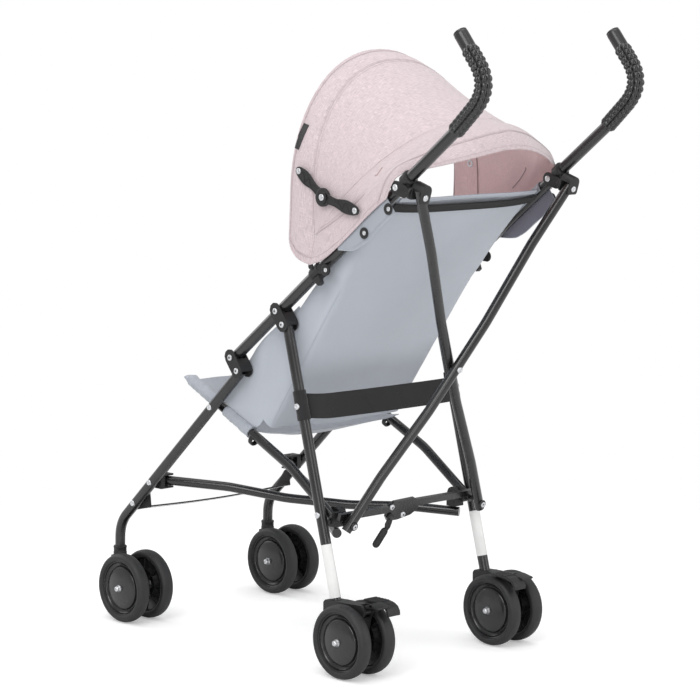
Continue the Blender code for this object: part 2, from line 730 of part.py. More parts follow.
# Crossbar in two halves that lap at the middle, with the hinge plate and release lever on the left half
for side, name, near, far, thick in ((1, "left", 0.0278, 0.0346, 0.0068), (-1, "right", 0.0200, 0.0268, 0.0068)):
    ear_at = side * STRUT_LOW_X
    outer = side * 0.1660 if side > 0 else side * 0.1600
    bar = [(outer, -0.0150), (0.036, -0.0150), (0.036, -0.0030), (outer, -0.0030)]
    solids = [
        back_plate(bar, REAR_PIVOT, near, far),
        rod(at(ear_at, behind(REAR_PIVOT, near, -0.001)), at(ear_at, behind(REAR_PIVOT, far, -0.001)), 0.0085),
    ]
    if side > 0:
        plate = [(0.057, -0.0150), (0.046, -0.0225), (0.000, -0.0240), (-0.014, -0.0170), (-0.014, -0.0020)]
        plate += [(0.000, 0.0070), (0.030, 0.0125), (0.052, 0.0120), (0.058, 0.0040)]
        solids.append(back_plate(plate, REAR_PIVOT, 0.0290, far))
        for spot in ((0.0500, -0.0130), (0.0199, 0.0040)):
            base = at(spot[0], behind(REAR_PIVOT, 0.0330, spot[1]))
            tip = at(spot[0], behind(REAR_PIVOT, 0.0372, spot[1]))
            solids.append(rod(base, tip, 0.0052, 0.0034, 12))
        stub = (0.0500, 0.0045)
        for start, end, wide, narrow in ((0.0330, 0.0400, 0.0026, 0.0026), (0.0384, 0.0406, 0.0050, 0.0034)):
            base = at(stub[0], behind(REAR_PIVOT, start, stub[1]))
            tip = at(stub[0], behind(REAR_PIVOT, end, stub[1]))
            solids.append(rod(base, tip, wide, narrow))
    piece(
        f"crossbar_{name}",
        PAINT,
        at(ear_at, behind(REAR_PIVOT, (near + far) / 2, -0.001)),
        solids,
        [
            rod(
                at(ear_at, behind(REAR_PIVOT, near - 0.004, -0.001)),
                at(ear_at, behind(REAR_PIVOT, far + 0.004, -0.001)),
                HOLE_R,
            )
        ],
    )

blade = [(0.0430, -0.0040), (0.0570, -0.0040), (0.0590, 0.0120), (0.0560, 0.0220), (0.0620, 0.0280)]
blade += [(0.0780, 0.0330), (0.0760, 0.0570), (0.0590, 0.0560), (0.0520, 0.0350), (0.0430, 0.0200)]
piece(
    "release_lever",
    PLASTIC,
    at(0.0500, behind(REAR_PIVOT, 0.0370, 0.0045)),
    [back_plate(blade, REAR_PIVOT, 0.0350, 0.0380)],
    [
        rod(
            at(0.0500, behind(REAR_PIVOT, 0.0300, 0.0045)),
            at(0.0500, behind(REAR_PIVOT, 0.0450, 0.0045)),
            0.0030,
            sides=12,
        )
    ],
)


def mix(table, s):
    """Reads a short (place, value) table between its entries."""
    for (a, u), (b, v) in zip(table, table[1:]):
        if a <= s <= b:
            return u + (v - u) * (s - a) / (b - a)
    return table[0][1] if s < table[0][0] else table[-1][1]


# Seat back: a sling that leaves the handle tubes low down, with a sleeve round each tube above
PANEL_DROP = ((-0.0243, 0.1300), (0.0306, 0.1130), (0.1616, 0.0710), (0.2586, 0.0415), (0.3341, 0.0210))
PANEL_DROP += ((0.410, 0.0085), (0.469, 0.0035))
WING_TOP = ((-0.0243, 0.0950), (0.0200, 0.0420), (0.0368, 0.0300), (0.1069, 0.0226), (0.1651, 0.0152))
WING_TOP += ((0.2124, 0.0053), (0.262, 0.0), (0.469, -0.0045))
SEAT_LOW = -0.0243
SLEEVE_LOW = CLIP + 0.0153
SEAT_TOP = YOKE - 0.0268
WING_X = ((SEAT_LOW, 0.1588), (SLEEVE_LOW - 0.0030, 0.1592), (SLEEVE_LOW + 0.0013, 0.1648), (SEAT_TOP, 0.1648))
PANEL_ROWS = [SEAT_LOW + (SLEEVE_LOW - 0.0030 - SEAT_LOW) * t for t in (0, 0.1, 0.2, 0.355, 0.51, 0.66, 0.815, 1)]
PANEL_ROWS += [SLEEVE_LOW + 0.0013 + (SEAT_TOP - SLEEVE_LOW - 0.0013) * t for t in (0, 0.24, 0.47, 0.7, 0.85, 1)]
rows = []
for s in PANEL_ROWS:
    panel = mix(PANEL_DROP, s)
    wing = min(mix(WING_TOP, s), panel - 0.0005)
    edge = mix(WING_X, s)
    height = s / SEAT_TOP
    sag = 0.011 * math.sin(math.pi * min(max(height, 0.0), 1.0)) + 0.002
    fold = 0.0022 * math.sin(9.0 * height)
    half = []
    for part in (0.0, 0.5):
        half.append((edge - 0.006 * part ** 1.5, wing + (panel - wing) * part))
    for t in (0.0, 0.12, 0.32, 0.54, 0.78):
        inward = (edge - 0.007) * (1 - t)
        half.append((inward, panel + sag * math.sin(math.pi / 2 * t) + fold * math.sin(5.2 * t)))
    row = [at(px, on_handle(s, drop)) for px, drop in half]
    row.append(at(0.0, on_handle(s, panel + sag + fold * math.sin(5.2))))
    row += [at(-px, on_handle(s, drop)) for px, drop in reversed(half)]
    rows.append(row)
sleeves = []
hollows = []
for fx in (FRAME_X, -FRAME_X):
    sleeves.append(rod(at(fx, on_handle(SLEEVE_LOW)), at(fx, on_handle(SEAT_TOP - 0.0025)), 0.0124))
    hollows.append(rod(at(fx, on_handle(SLEEVE_LOW - 0.01)), at(fx, on_handle(SEAT_TOP + 0.01)), bore(HANDLE_R)))
piece("seat_back", GREY_CLOTH, at(0.0, KNEE), [cloth(rows, 0.0022), *sleeves], hollows)

# Webbing across the back of the seat's head end, from tube to tube
bm = bmesh.new()
loops = []
for s in (SEAT_TOP - 0.0285, SEAT_TOP - 0.0090):
    for face in (0.0, 0.0018):
        line = []
        for i in range(9):
            t = -1 + i / 4
            line.append(bm.verts.new(at(0.1648 * t, on_handle(s, 0.0070 + face + 0.0066 * (1 - t ** 4)))))
        loops.append(line)
low_near, low_far, high_near, high_far = loops
for first, second in ((low_near, high_near), (high_near, high_far), (high_far, low_far), (low_far, low_near)):
    for i in range(8):
        bm.faces.new((first[i], first[i + 1], second[i + 1], second[i]))
bm.faces.new((low_near[0], high_near[0], high_far[0], low_far[0]))
bm.faces.new((low_near[8], low_far[8], high_far[8], high_near[8]))
piece("head_webbing", WEBBING, at(0.0, on_handle(SEAT_TOP - 0.019)), [closed(bm)])

# Seat pan: hangs between the rails, straight at the front edge, with sleeves round the rails
RAIL_LINE = ((0.134, 0.440), (0.2093, 0.4035), (0.385, 0.320))
PAN_SAG = ((0.134, 0.0), (0.160, 0.012), (0.2294, 0.036), (0.285, 0.018), (0.329, 0.008))
rows = []
for k in range(9):
    y = 0.1335 + (0.3290 - 0.1335) * k / 8
    edge = mix(RAIL_LINE, y)
    lift = 0.0 if y < 0.285 else (y - 0.285) / 0.044 * 0.0255
    sag = mix(PAN_SAG, y)
    ripple = 0.0016 * math.sin(60.0 * (y - 0.1335))
    row = []
    for i in range(11):
        t = -1 + i / 5
        drop = sag * (1 - abs(t) ** 2.4) + ripple * math.cos(3.1 * t)
        row.append(at(0.1478 * t, Vector((y, edge + lift - drop))))
    rows.append(row)
sleeves = []
hollows = []
for rx in (RAIL_X, -RAIL_X):
    first = Vector((0.2093, 0.4035)) - Vector((0.134, 0.440))
    second = Vector((0.385, 0.320)) - Vector((0.2093, 0.4035))
    first.normalize()
    second.normalize()
    tip = Vector((0.134, 0.440))
    pin = Vector((0.2093, 0.4035))
    sleeves.append(rod(at(rx, tip - first * 0.004), at(rx, pin - first * 0.0225), 0.0108))
    sleeves.append(rod(at(rx, pin + second * 0.0225), at(rx, pin + second * 0.0800), 0.0108))
    hollows.append(rod(at(rx, tip - first * 0.0015), at(rx, pin + first * 0.004), bore(RAIL_R)))
    hollows.append(rod(at(rx, pin - second * 0.004), at(rx, pin + second * 0.1100), bore(RAIL_R)))
piece("seat_pan", GREY_CLOTH, at(0.0, REAR_PIVOT), [cloth(rows, 0.0022), *sleeves], hollows)

# Band behind the seat, between sleeves on the rear legs
BAND = ((0.1657, 0.0020), (0.1590, 0.0110), (0.1480, 0.0240), (0.120, 0.0268), (0.060, 0.0285), (0.0, 0.0290))
rows = []
for z in (0.4120, 0.4300, 0.4470):
    leg_y = SHOULDER_PIVOT.x - (SHOULDER_PIVOT.y - z) * REAR_DIR.x / REAR_DIR.y
    half = [at(px, (leg_y + back, z)) for px, back in BAND]
    row = half + [Vector((-p.x, p.y, p.z)) for p in reversed(half[:-1])]
    rows.append(row)
sleeves = []
hollows = []
for fx in (FRAME_X, -FRAME_X):
    high = SHOULDER_PIVOT + REAR_DIR * 0.1130
    low = SHOULDER_PIVOT + REAR_DIR * 0.1600
    sleeves.append(rod(at(fx, high), at(fx, low), 0.0114))
    hollows.append(rod(at(fx, high - REAR_DIR * 0.02), at(fx, low + REAR_DIR * 0.02), bore(LEG_R)))
piece("rear_band", WEBBING, at(0.0, SHOULDER_PIVOT + REAR_DIR * 0.1362 + Vector((0.027, 0.0))), [cloth(rows, 0.0022), *sleeves], hollows)

# Footrest strap between the front legs, with a web up to each leg
rows = []
for y, z in ((-0.0100, 0.1965), (0.0100, 0.2000), (0.0300, 0.2070)):
    rows.append([at(-0.1650 + 0.33 * i / 12, (y, z - 0.004 * math.sin(math.pi * i / 12))) for i in range(13)])
webs = []
for side in (1, -1):
    web = [Vector((-0.0100, 0.1955)), Vector((0.0300, 0.2060)), Vector((0.0250, 0.2360)), Vector((0.0130, 0.2280))]
    webs.append(side_plate(web, side * 0.1640, side * 0.1667))
piece("footrest_strap", WEBBING, at(0.0, (0.0, 0.2)), [cloth(rows, 0.0028), *webs])

# Canopy: three gores between hoops. A hoop rises straight from its foot, then rounds over the top
SEAM_V = by_clip(0.0124, 0.0535)


def hoop(foot, apex, straight, half_x, start=None):
    points = []
    if start is not None:
        points.append((half_x, start))
    points.append((half_x, foot))
    for i in range(9):
        angle = math.pi / 2 * i / 8
        share = straight + (1 - straight) * math.sin(angle)
        points.append((half_x * math.cos(angle) ** 0.92 if i < 8 else 0.0, foot + (apex - foot) * share))
    row = [at(px, place) for px, place in points]
    return row + [Vector((-p.x, p.y, p.z)) for p in reversed(row[:-1])]


def gore(hoops, sag):
    """Rows between the given hoops, drawn in a little between them as taut cloth is."""
    rows = []
    count = len(hoops) - 1
    for k, (a, b) in enumerate(zip(hoops, hoops[1:])):
        for i in range(2):
            t = i / 2
            rows.append([p * (1 - t) + q * t for p, q in zip(a, b)])
    rows.append(hoops[-1])
    total = len(rows) - 1
    centre = at(0.0, by_clip(0.0851, 0.1400))
    pulled = []
    for k, row in enumerate(rows):
        pull = sag * math.sin(math.pi * k / total)
        last = len(row) - 1
        moved = []
        for i, p in enumerate(row):
            moved.append(p + (centre - p).normalized() * pull * math.sin(math.pi * i / last))
        pulled.append(moved)
    return pulled


front_rows = gore(
    [
        hoop(by_clip(-0.0479, 0.0530), by_clip(-0.0363, 0.3480), 0.26, CANOPY_X, by_clip(-0.0454, 0.0300)),
        hoop(by_clip(-0.0199, 0.0530), by_clip(0.0087, 0.3446), 0.26, CANOPY_X + 0.001, by_clip(-0.0239, 0.0170)),
        hoop(SEAM_V - Vector((0.0006, 0.0)), by_clip(0.0527, 0.3343), 0.26, CANOPY_X, by_clip(-0.0009, 0.0050)),
    ],
    0.0015,
)
piece("canopy_front", PINK_CLOTH, at(0.0, CANOPY_PIVOT), [cloth(front_rows, 0.0024)])
top_rows = gore(
    [
        hoop(SEAM_V + Vector((0.0003, 0.0040)), by_clip(0.0534, 0.3341), 0.26, CANOPY_X),
        hoop(SEAM_V + Vector((0.0030, 0.0040)), by_clip(0.1001, 0.3100), 0.25, CANOPY_X + 0.001),
        hoop(SEAM_V + Vector((0.0058, 0.0040)), by_clip(0.1501, 0.2815), 0.23, CANOPY_X + 0.001),
        hoop(SEAM_V + Vector((0.0088, 0.0040)), by_clip(0.1918, 0.2612), 0.20, CANOPY_X),
    ],
    0.0050,
)
piece("canopy_top", PINK_CLOTH, at(0.0, CANOPY_PIVOT), [cloth(top_rows, 0.0024)])


def mirrored(half):
    row = [at(px, by_clip(y, z)) for px, y, z in half]
    return row + [Vector((-p.x, p.y, p.z)) for p in reversed(row[:-1])]


HEM_TOP = ((0.1915, 0.2161, 0.1620), (0.1912, 0.2191, 0.1800), (0.1900, 0.2221, 0.1930), (0.1845, 0.2251, 0.2040))
HEM_TOP += ((0.1740, 0.2291, 0.2130), (0.1580, 0.2341, 0.2195), (0.1350, 0.2411, 0.2245), (0.1060, 0.2481, 0.2280))
HEM_TOP += ((0.0720, 0.2551, 0.2300), (0.0360, 0.2626, 0.2310), (0.0, 0.2657, 0.2319))
HEM_LOW = ((0.1905, 0.2311, 0.1662), (0.1900, 0.2351, 0.1780), (0.1885, 0.2381, 0.1870), (0.1835, 0.2401, 0.1920))
HEM_LOW += ((0.1760, 0.2416, 0.1940), (0.1600, 0.2441, 0.1950), (0.1360, 0.2491, 0.1955), (0.1060, 0.2561, 0.1962))
HEM_LOW += ((0.0720, 0.2631, 0.1968), (0.0360, 0.2691, 0.1970), (0.0, 0.2721, 0.1970))
rear_rows = gore(
    [
        hoop(SEAM_V + Vector((0.0096, 0.0036)), by_clip(0.1925, 0.2609), 0.20, CANOPY_X, by_clip(0.0015, 0.0062)),
        hoop(by_clip(0.0901, 0.0860), by_clip(0.2151, 0.2505), 0.12, CANOPY_X + 0.001, by_clip(0.0681, 0.0520)),
        hoop(by_clip(0.1631, 0.1360), by_clip(0.2431, 0.2400), 0.08, CANOPY_X + 0.003, by_clip(0.1451, 0.1115)),
        mirrored(HEM_TOP),
    ],
    0.0020,
)
rear_rows += [[(p + q) / 2 for p, q in zip(rear_rows[-1], mirrored(HEM_LOW))], mirrored(HEM_LOW)]
piece("canopy_rear", PINK_CLOTH, at(0.0, by_clip(0.2351, 0.1700)), [cloth(rear_rows, 0.0024)])
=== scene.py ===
"""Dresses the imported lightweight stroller: its painted frame, wheels, grips, sling seat and canopy.

Metres, +Z up. The front faces -Y, the child's left is +X and the floor is z = 0. Side-view places are (y, z)
pairs measured from the front wheel hub, and at() shifts them into the frame. Numbers inside mm() are in
millimetres.
"""

import math

import bpy
import numpy as np
from bpy.props import FloatProperty, FloatVectorProperty, PointerProperty
from mathutils import Matrix, Vector, noise


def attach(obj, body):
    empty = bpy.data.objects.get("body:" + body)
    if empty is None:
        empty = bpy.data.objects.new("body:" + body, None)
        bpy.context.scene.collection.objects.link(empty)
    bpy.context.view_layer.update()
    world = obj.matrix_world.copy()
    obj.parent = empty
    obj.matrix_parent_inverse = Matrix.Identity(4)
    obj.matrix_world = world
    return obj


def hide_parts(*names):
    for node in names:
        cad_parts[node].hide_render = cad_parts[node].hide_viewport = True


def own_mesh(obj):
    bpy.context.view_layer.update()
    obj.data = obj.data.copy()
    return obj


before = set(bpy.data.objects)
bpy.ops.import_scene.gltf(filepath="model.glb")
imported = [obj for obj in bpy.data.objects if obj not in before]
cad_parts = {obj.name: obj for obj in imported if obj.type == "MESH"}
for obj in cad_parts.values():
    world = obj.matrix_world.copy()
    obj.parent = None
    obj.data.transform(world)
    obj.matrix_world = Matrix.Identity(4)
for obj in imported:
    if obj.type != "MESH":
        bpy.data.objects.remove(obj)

bl_info = {
    "name": "Lightweight stroller",
    "version": (1, 0, 0),
    "blender": (4, 5, 0),
    "location": "3D View > Sidebar > Stroller",
    "description": "Dresses the stroller's frame with tubes, wheels, fabric and a studio",
    "category": "Object",
}

SIDES = (("left", 1), ("right", -1))
FRAME_X = 0.176
MID_Y = 0.3958
WHEEL_R = 0.061
WHEELBASE = 0.558
RAIL_X = 0.157
KNEE = Vector((0.268, 0.4943))
SLOPE = math.radians(37.9)
PIVOT_DROP = 0.0265
SHOULDER = 0.1429
YOKE = 0.4958
GRIP_START = 0.642
FRONT_SLOPE = math.radians(43.0)
REAR_SLOPE = math.radians(75.06)
SWIVEL_Y = -0.0435
STRUT_TOP_X = 0.1717
STRUT_LOW_X = 0.1506
UNDER_FRONT_X = 0.1455
UNDER_REAR_X = 0.14
UNDER_HANG = 0.0338
CANOPY_X = 0.19

ALONG = Vector((math.cos(SLOPE), math.sin(SLOPE)))
DOWN = Vector((math.sin(SLOPE), -math.cos(SLOPE)))
FRONT_DIR = Vector((-math.cos(FRONT_SLOPE), -math.sin(FRONT_SLOPE)))
REAR_DIR = Vector((math.cos(REAR_SLOPE), -math.sin(REAR_SLOPE)))
STRUT_TOP = Vector((0.6975, 0.7873))
STRUT_LOW = Vector((0.5221, 0.2421))
LOWER = (STRUT_LOW - STRUT_TOP).normalized()
BACK = Vector((-LOWER.y, LOWER.x))
STRUT_RUN = (STRUT_LOW - STRUT_TOP).length


def on_handle(s, drop=0.0):
    """A side-view place along the handle tube from the knee rivet, and square below it."""
    return KNEE + ALONG * s + DOWN * drop


KNEE_PIVOT = on_handle(0.0, PIVOT_DROP)
SHOULDER_PIVOT = on_handle(SHOULDER, PIVOT_DROP)
RAIL_LINE = ((0.134, 0.44), (0.2093, 0.4035), (0.385, 0.32))
RAIL_TIP, RAIL_PIN, RAIL_ELBOW = (Vector(p) for p in RAIL_LINE)
RAIL_PIVOT = KNEE_PIVOT + FRONT_DIR * 0.1025
FRONT_PIN = KNEE_PIVOT + FRONT_DIR * 0.3232
LEG_BEND = KNEE_PIVOT + FRONT_DIR * 0.4468
LEG_RIVET = KNEE_PIVOT + FRONT_DIR * 0.386
REAR_PIVOT = SHOULDER_PIVOT + REAR_DIR * 0.3169
FOOT = SHOULDER_PIVOT + REAR_DIR * 0.485
YOKE_PIN = on_handle(YOKE)
FRONT_HUB = Vector((0.0, WHEEL_R))
REAR_HUB = Vector((WHEELBASE, WHEEL_R))


def at(x, yz):
    return Vector((x, yz[0] - MID_Y, yz[1]))


def way(yz):
    """A side-view direction in the frame."""
    return Vector((0, yz[0], yz[1]))


def mm(*rows):
    """A table written in millimetres, in metres."""
    return [tuple(value / 1000 for value in row) for row in rows]


def behind(base, back, lower=0.0):
    return base + BACK * back + LOWER * lower


OUT = Vector((0.0, BACK.x, BACK.y))
UNDER = Vector((0.0, DOWN.x, DOWN.y))
CANOPY_MIDDLE = at(0.0, (0.55, 0.8))


def resample(points, count):
    """The same path with count points, evenly spaced along it."""
    path = np.array([tuple(p) for p in points])
    reach = np.concatenate([[0.0], np.cumsum(np.linalg.norm(np.diff(path, axis=0), axis=1))])
    spots = np.linspace(0.0, reach[-1], count)
    places = np.stack([np.interp(spots, reach, path[:, k]) for k in range(path.shape[1])], 1)
    return [Vector(p) for p in places]


def length_of(points):
    return sum((b - a).length for a, b in zip(points, points[1:]))


def bend(points, radius, steps=10):
    """The path through these points with each corner rounded to this radius."""
    path = [points[0]]
    for before, corner, after in zip(points, points[1:], points[2:]):
        u = (before - corner).normalized()
        v = (after - corner).normalized()
        angle = math.pi - u.angle(v)
        reach = min((before - corner).length, (after - corner).length)
        cut = min(radius * math.tan(angle / 2), 0.49 * reach)
        start = corner + u * cut
        end = corner + v * cut
        for i in range(steps + 1):
            t = i / steps
            path.append(start * (1 - t) ** 2 + corner * 2 * t * (1 - t) + end * t * t)
    path.append(points[-1])
    return path


def capsule(a, b, radius, end_radius=None, steps=10):
    """The side-view outline of a rounded link between two places."""
    far = radius if end_radius is None else end_radius
    run = (b - a).normalized()
    start = math.atan2(run.y, run.x)
    points = []
    for centre, first, size in ((b, start - math.pi / 2, far), (a, start + math.pi / 2, radius)):
        for i in range(steps + 1):
            angle = first + math.pi * i / steps
            points.append(centre + Vector((math.cos(angle), math.sin(angle))) * size)
    return points


def mix(table, s):
    """Reads a short (place, value) table between its entries."""
    return float(np.interp(s, [a for a, b in table], [b for a, b in table]))


# Modelling helpers
def deselect():
    if bpy.context.object is not None and bpy.context.object.mode != "OBJECT":
        bpy.ops.object.mode_set(mode="OBJECT")
    bpy.ops.object.select_all(action="DESELECT")


def pick(obj, *others):
    deselect()
    for each in (obj, *others):
        each.select_set(True)
    bpy.context.view_layer.objects.active = obj


def edit(obj):
    pick(obj)
    bpy.ops.object.mode_set(mode="EDIT")
    bpy.ops.mesh.select_all(action="SELECT")


def apply(obj, kind, **settings):
    pick(obj)
    modifier = obj.modifiers.new(kind.lower(), kind)
    for key, value in settings.items():
        setattr(modifier, key, value)
    bpy.ops.object.modifier_apply(modifier=modifier.name)


def tube(paths, radius, sides=24):
    """Round bars along paths, drawn as a curve and made a mesh."""
    deselect()
    bpy.ops.curve.primitive_bezier_curve_add()
    obj = bpy.context.object
    curve = obj.data
    curve.splines.clear()
    for path in paths:
        spline = curve.splines.new("POLY")
        spline.points.add(len(path) - 1)
        for i, place in enumerate(path):
            spline.points[i].co = (*place, 1.0)
    curve.dimensions = "3D"
    curve.bevel_depth = radius
    curve.bevel_resolution = (sides - 4) // 2
    curve.use_fill_caps = True
    bpy.ops.object.convert(target="MESH")
    return bpy.context.object


def plate(outline, place, low, high, bevel=0.0008, segments=3):
    """A flat part: place(u, v, w) puts its outline at w = low; it is extruded to w = high and bevelled."""
    deselect()
    bpy.ops.mesh.primitive_circle_add(vertices=len(outline), radius=0.01, fill_type="NGON")
    obj = bpy.context.object
    for vertex, (u, v) in zip(obj.data.vertices, outline):
        vertex.co = place(u, v, low)
    edit(obj)
    rise = place(0.0, 0.0, high) - place(0.0, 0.0, low)
    bpy.ops.mesh.extrude_region_move(TRANSFORM_OT_translate={"value": rise})
    bpy.ops.mesh.select_all(action="SELECT")
    bpy.ops.mesh.normals_make_consistent(inside=False)
    bpy.ops.object.mode_set(mode="OBJECT")
    if bevel:
        sharp = math.radians(35)
        apply(obj, "BEVEL", width=bevel, segments=segments, limit_method="ANGLE", angle_limit=sharp)
    return obj


def side_plate(outline, x0, x1, bevel=0.0008, segments=3):
    return plate(outline, lambda y, z, x: at(x, (y, z)), x0, x1, bevel, segments)


def strut_plate(outline, base, back0, back1, bevel=0.0008):
    return plate(outline, lambda x, lower, back: at(x, behind(base, back, lower)), back0, back1, bevel)


def turned(profile, centre, axis, steps=48):
    """A part spun from a closed (radius, along) outline about an axis through centre."""
    deselect()
    bpy.ops.mesh.primitive_circle_add(vertices=len(profile), radius=0.01, fill_type="NOTHING")
    obj = bpy.context.object
    for vertex, (r, w) in zip(obj.data.vertices, profile):
        vertex.co = (r, 0.0, w)
    edit(obj)
    bpy.ops.mesh.spin(steps=steps, angle=2 * math.pi, center=(0.0, 0.0, 0.0), axis=(0.0, 0.0, 1.0))
    bpy.ops.mesh.select_all(action="SELECT")
    bpy.ops.mesh.remove_doubles(threshold=1e-6)
    bpy.ops.mesh.dissolve_degenerate(threshold=1e-6)
    bpy.ops.mesh.select_all(action="SELECT")
    bpy.ops.mesh.normals_make_consistent(inside=False)
    bpy.ops.object.mode_set(mode="OBJECT")
    obj.data.transform(Matrix.Translation(centre) @ facing(axis))
    return obj


def facing(direction):
    """The turn that takes +Z to this direction."""
    return Vector(direction).to_track_quat("Z", "Y").to_matrix().to_4x4()


def twin_of(pattern, place):
    twin = bpy.data.objects.new(pattern.name, pattern.data.copy())
    bpy.context.scene.collection.objects.link(twin)
    twin.data.transform(place)
    return twin


def copies(pattern, places):
    """Copies of one small shape at (point, direction, width, height) places, joined."""
    made = []
    for point, direction, width, height in places:
        size = Matrix.Diagonal((width, width, height, 1))
        made.append(twin_of(pattern, Matrix.Translation(point) @ facing(direction) @ size))
    bpy.data.objects.remove(pattern)
    return joined(*made)


def joined(obj, *others):
    pick(obj, *others)
    if others:
        bpy.ops.object.join()
    return bpy.context.object


def rivet_heads(places):
    """Domed tubular rivet heads with a dimple."""
    dome = [(0.0, -0.6), (1.0, -0.6), (1.0, 0.25), (0.94, 0.55), (0.78, 0.83), (0.56, 0.98), (0.42, 1.0)]
    dome += [(0.34, 0.9), (0.28, 0.62), (0.0, 0.55)]
    return copies(turned(dome, (0, 0, 0), (0, 0, 1), 24), places)


def woven(rows, thick, levels=2, ruffle=None, two_finishes=(), inside=None):
    """A sheet of cloth through rows of points, smoothed, ruffled and given its thickness.

    Its UV map is in metres. A cloth with two finishes takes its outer and inner finish here; other cloth gets
    one finish when it is named.
    """
    count = len(rows[0])
    deselect()
    bpy.ops.mesh.primitive_grid_add(x_subdivisions=count - 1, y_subdivisions=len(rows) - 1, size=1.0)
    obj = bpy.context.object
    wide = max(length_of(row) for row in rows)
    columns = [length_of([row[i] for row in rows]) for i in range(count)]
    deep = min(max(columns), 1.2 * sum(columns) / count)
    for vertex in obj.data.vertices:
        column = round((vertex.co.x + 0.5) * (count - 1))
        line = round((vertex.co.y + 0.5) * (len(rows) - 1))
        vertex.co = rows[line][column]
    for loop in obj.data.uv_layers.active.data:
        loop.uv = (loop.uv.x * wide, loop.uv.y * deep)
    apply(
        obj, "SUBSURF", levels=levels, render_levels=levels, uv_smooth="NONE",
        boundary_smooth="PRESERVE_CORNERS"
    )
    if inside is not None:
        outward = sum((p.center - inside).dot(p.normal) for p in obj.data.polygons)
        if outward < 0:
            edit(obj)
            bpy.ops.mesh.flip_normals()
            bpy.ops.object.mode_set(mode="OBJECT")
    if ruffle is not None:
        moves = [v.normal * ruffle(v.co) for v in obj.data.vertices]
        for vertex, move in zip(obj.data.vertices, moves):
            vertex.co += move
    area = sum(p.area for p in obj.data.polygons)
    for each in two_finishes:
        obj.data.materials.append(material(each))
    apply(obj, "SOLIDIFY", thickness=thick, offset=0.0, material_offset=1 if two_finishes else 0)
    obj["flat"] = (wide, deep, area)
    return obj


def folding(pieces):
    """Gives each soft piece its own copy of its mesh."""
    for piece in pieces:
        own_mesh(piece)


def gathered(paths, radius, ruffle):
    """A cloth sleeve on a bar, with gathers."""
    sleeve = tube(paths, radius, 32)
    for vertex, move in zip(sleeve.data.vertices, [v.normal * ruffle(v.co) for v in sleeve.data.vertices]):
        vertex.co += move
    return sleeve


def from_middle(point):
    return (point - CANOPY_MIDDLE).normalized()


def on_cloth(obj, points, lift, away=from_middle):
    """These points laid onto the face that away(point) leads out of, and lifted off it a little."""
    laid = []
    for point in points:
        out = away(point)
        hit, place, normal, face = obj.ray_cast(point + out * 0.012, -out, distance=0.03)
        if not hit:
            hit, place, normal, face = obj.closest_point_on_mesh(point + out * 0.004)
        laid.append(place + normal * lift)
    return laid


def stitches(lines, pitch=0.0036, radius=0.00034):
    """Running stitches along lines: short threads with gaps between them."""
    threads = []
    for line in lines:
        count = max(2, round(length_of(line) / pitch))
        spots = resample(line, count + 1)
        for a, b in zip(spots, spots[1:]):
            threads.append([a, a + (b - a) * 0.68])
    return tube(threads, radius, 6)


def named(obj, name, finish, body, nodes=(), angle=38):
    """Gives a finished piece its name, material and body, and the frame nodes that it stands for."""
    obj.name = name
    obj.data.name = name
    if finish is not None:
        obj.data.materials.clear()
        obj.data.materials.append(material(finish))
    pick(obj)
    bpy.ops.object.shade_smooth_by_angle(angle=math.radians(angle))
    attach(obj, body)
    if nodes:
        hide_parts(*nodes)
    return obj


def moulded(obj, name, body, nodes=()):
    return named(obj, name, "moulded_plastic", body, nodes)


def riveted(places, name, body):
    return named(rivet_heads(places), name, "zinc", body)


# Finishes
def wire(tree, place, value):
    """Links a socket to an input, or sets the input to a constant."""
    if isinstance(value, bpy.types.NodeSocket):
        tree.links.new(value, place)
    else:
        place.default_value = value


def add(tree, kind, **values):
    """A shader node with its inputs set by name."""
    made = tree.nodes.new("ShaderNode" + kind)
    for key, value in values.items():
        wire(tree, made.inputs[key.replace("_", " ")], value)
    return made


def place_on(tree, source="Object", stretch=(1, 1, 1)):
    """A piece's own coordinates, stretched."""
    spot = tree.nodes.new("ShaderNodeTexCoord").outputs[source]
    return add(tree, "Mapping", Vector=spot, Scale=stretch).outputs["Vector"]


def speckle(tree, vector, scale, detail=3, rough=0.55):
    return add(tree, "TexNoise", Vector=vector, Scale=scale, Detail=detail, Roughness=rough).outputs["Fac"]


def between(tree, value, low, high, start=0.3, end=0.7):
    """Maps a pattern's value to a range."""
    made = add(tree, "MapRange", Value=value, From_Min=start, From_Max=end, To_Min=low, To_Max=high)
    return made.outputs["Result"]


def maths(tree, kind, a, b):
    made = tree.nodes.new("ShaderNodeMath")
    made.operation = kind
    wire(tree, made.inputs[0], a)
    wire(tree, made.inputs[1], b)
    return made.outputs["Value"]


def blend_of(tree, share, first, second):
    """A colour between two, by a pattern."""
    made = tree.nodes.new("ShaderNodeMix")
    made.data_type = "RGBA"
    wire(tree, made.inputs[0], share)
    for place, value in ((6, first), (7, second)):
        wire(tree, made.inputs[place], (*value, 1) if isinstance(value, tuple) else value)
    return made.outputs[2]


def bump(tree, height, strength, distance, **under):
    return add(tree, "Bump", Height=height, Strength=strength, Distance=distance, **under).outputs["Normal"]


def times(colour, factor):
    return tuple(min(1.0, c * factor) for c in colour)


def new_finish(name):
    made = bpy.data.materials.new(name)
    made.use_nodes = True
    return made, made.node_tree


def shade(tree, **values):
    """Sets inputs of a material's shader."""
    for key, value in values.items():
        wire(tree, tree.nodes["Principled BSDF"].inputs[key.replace("_", " ")], value)


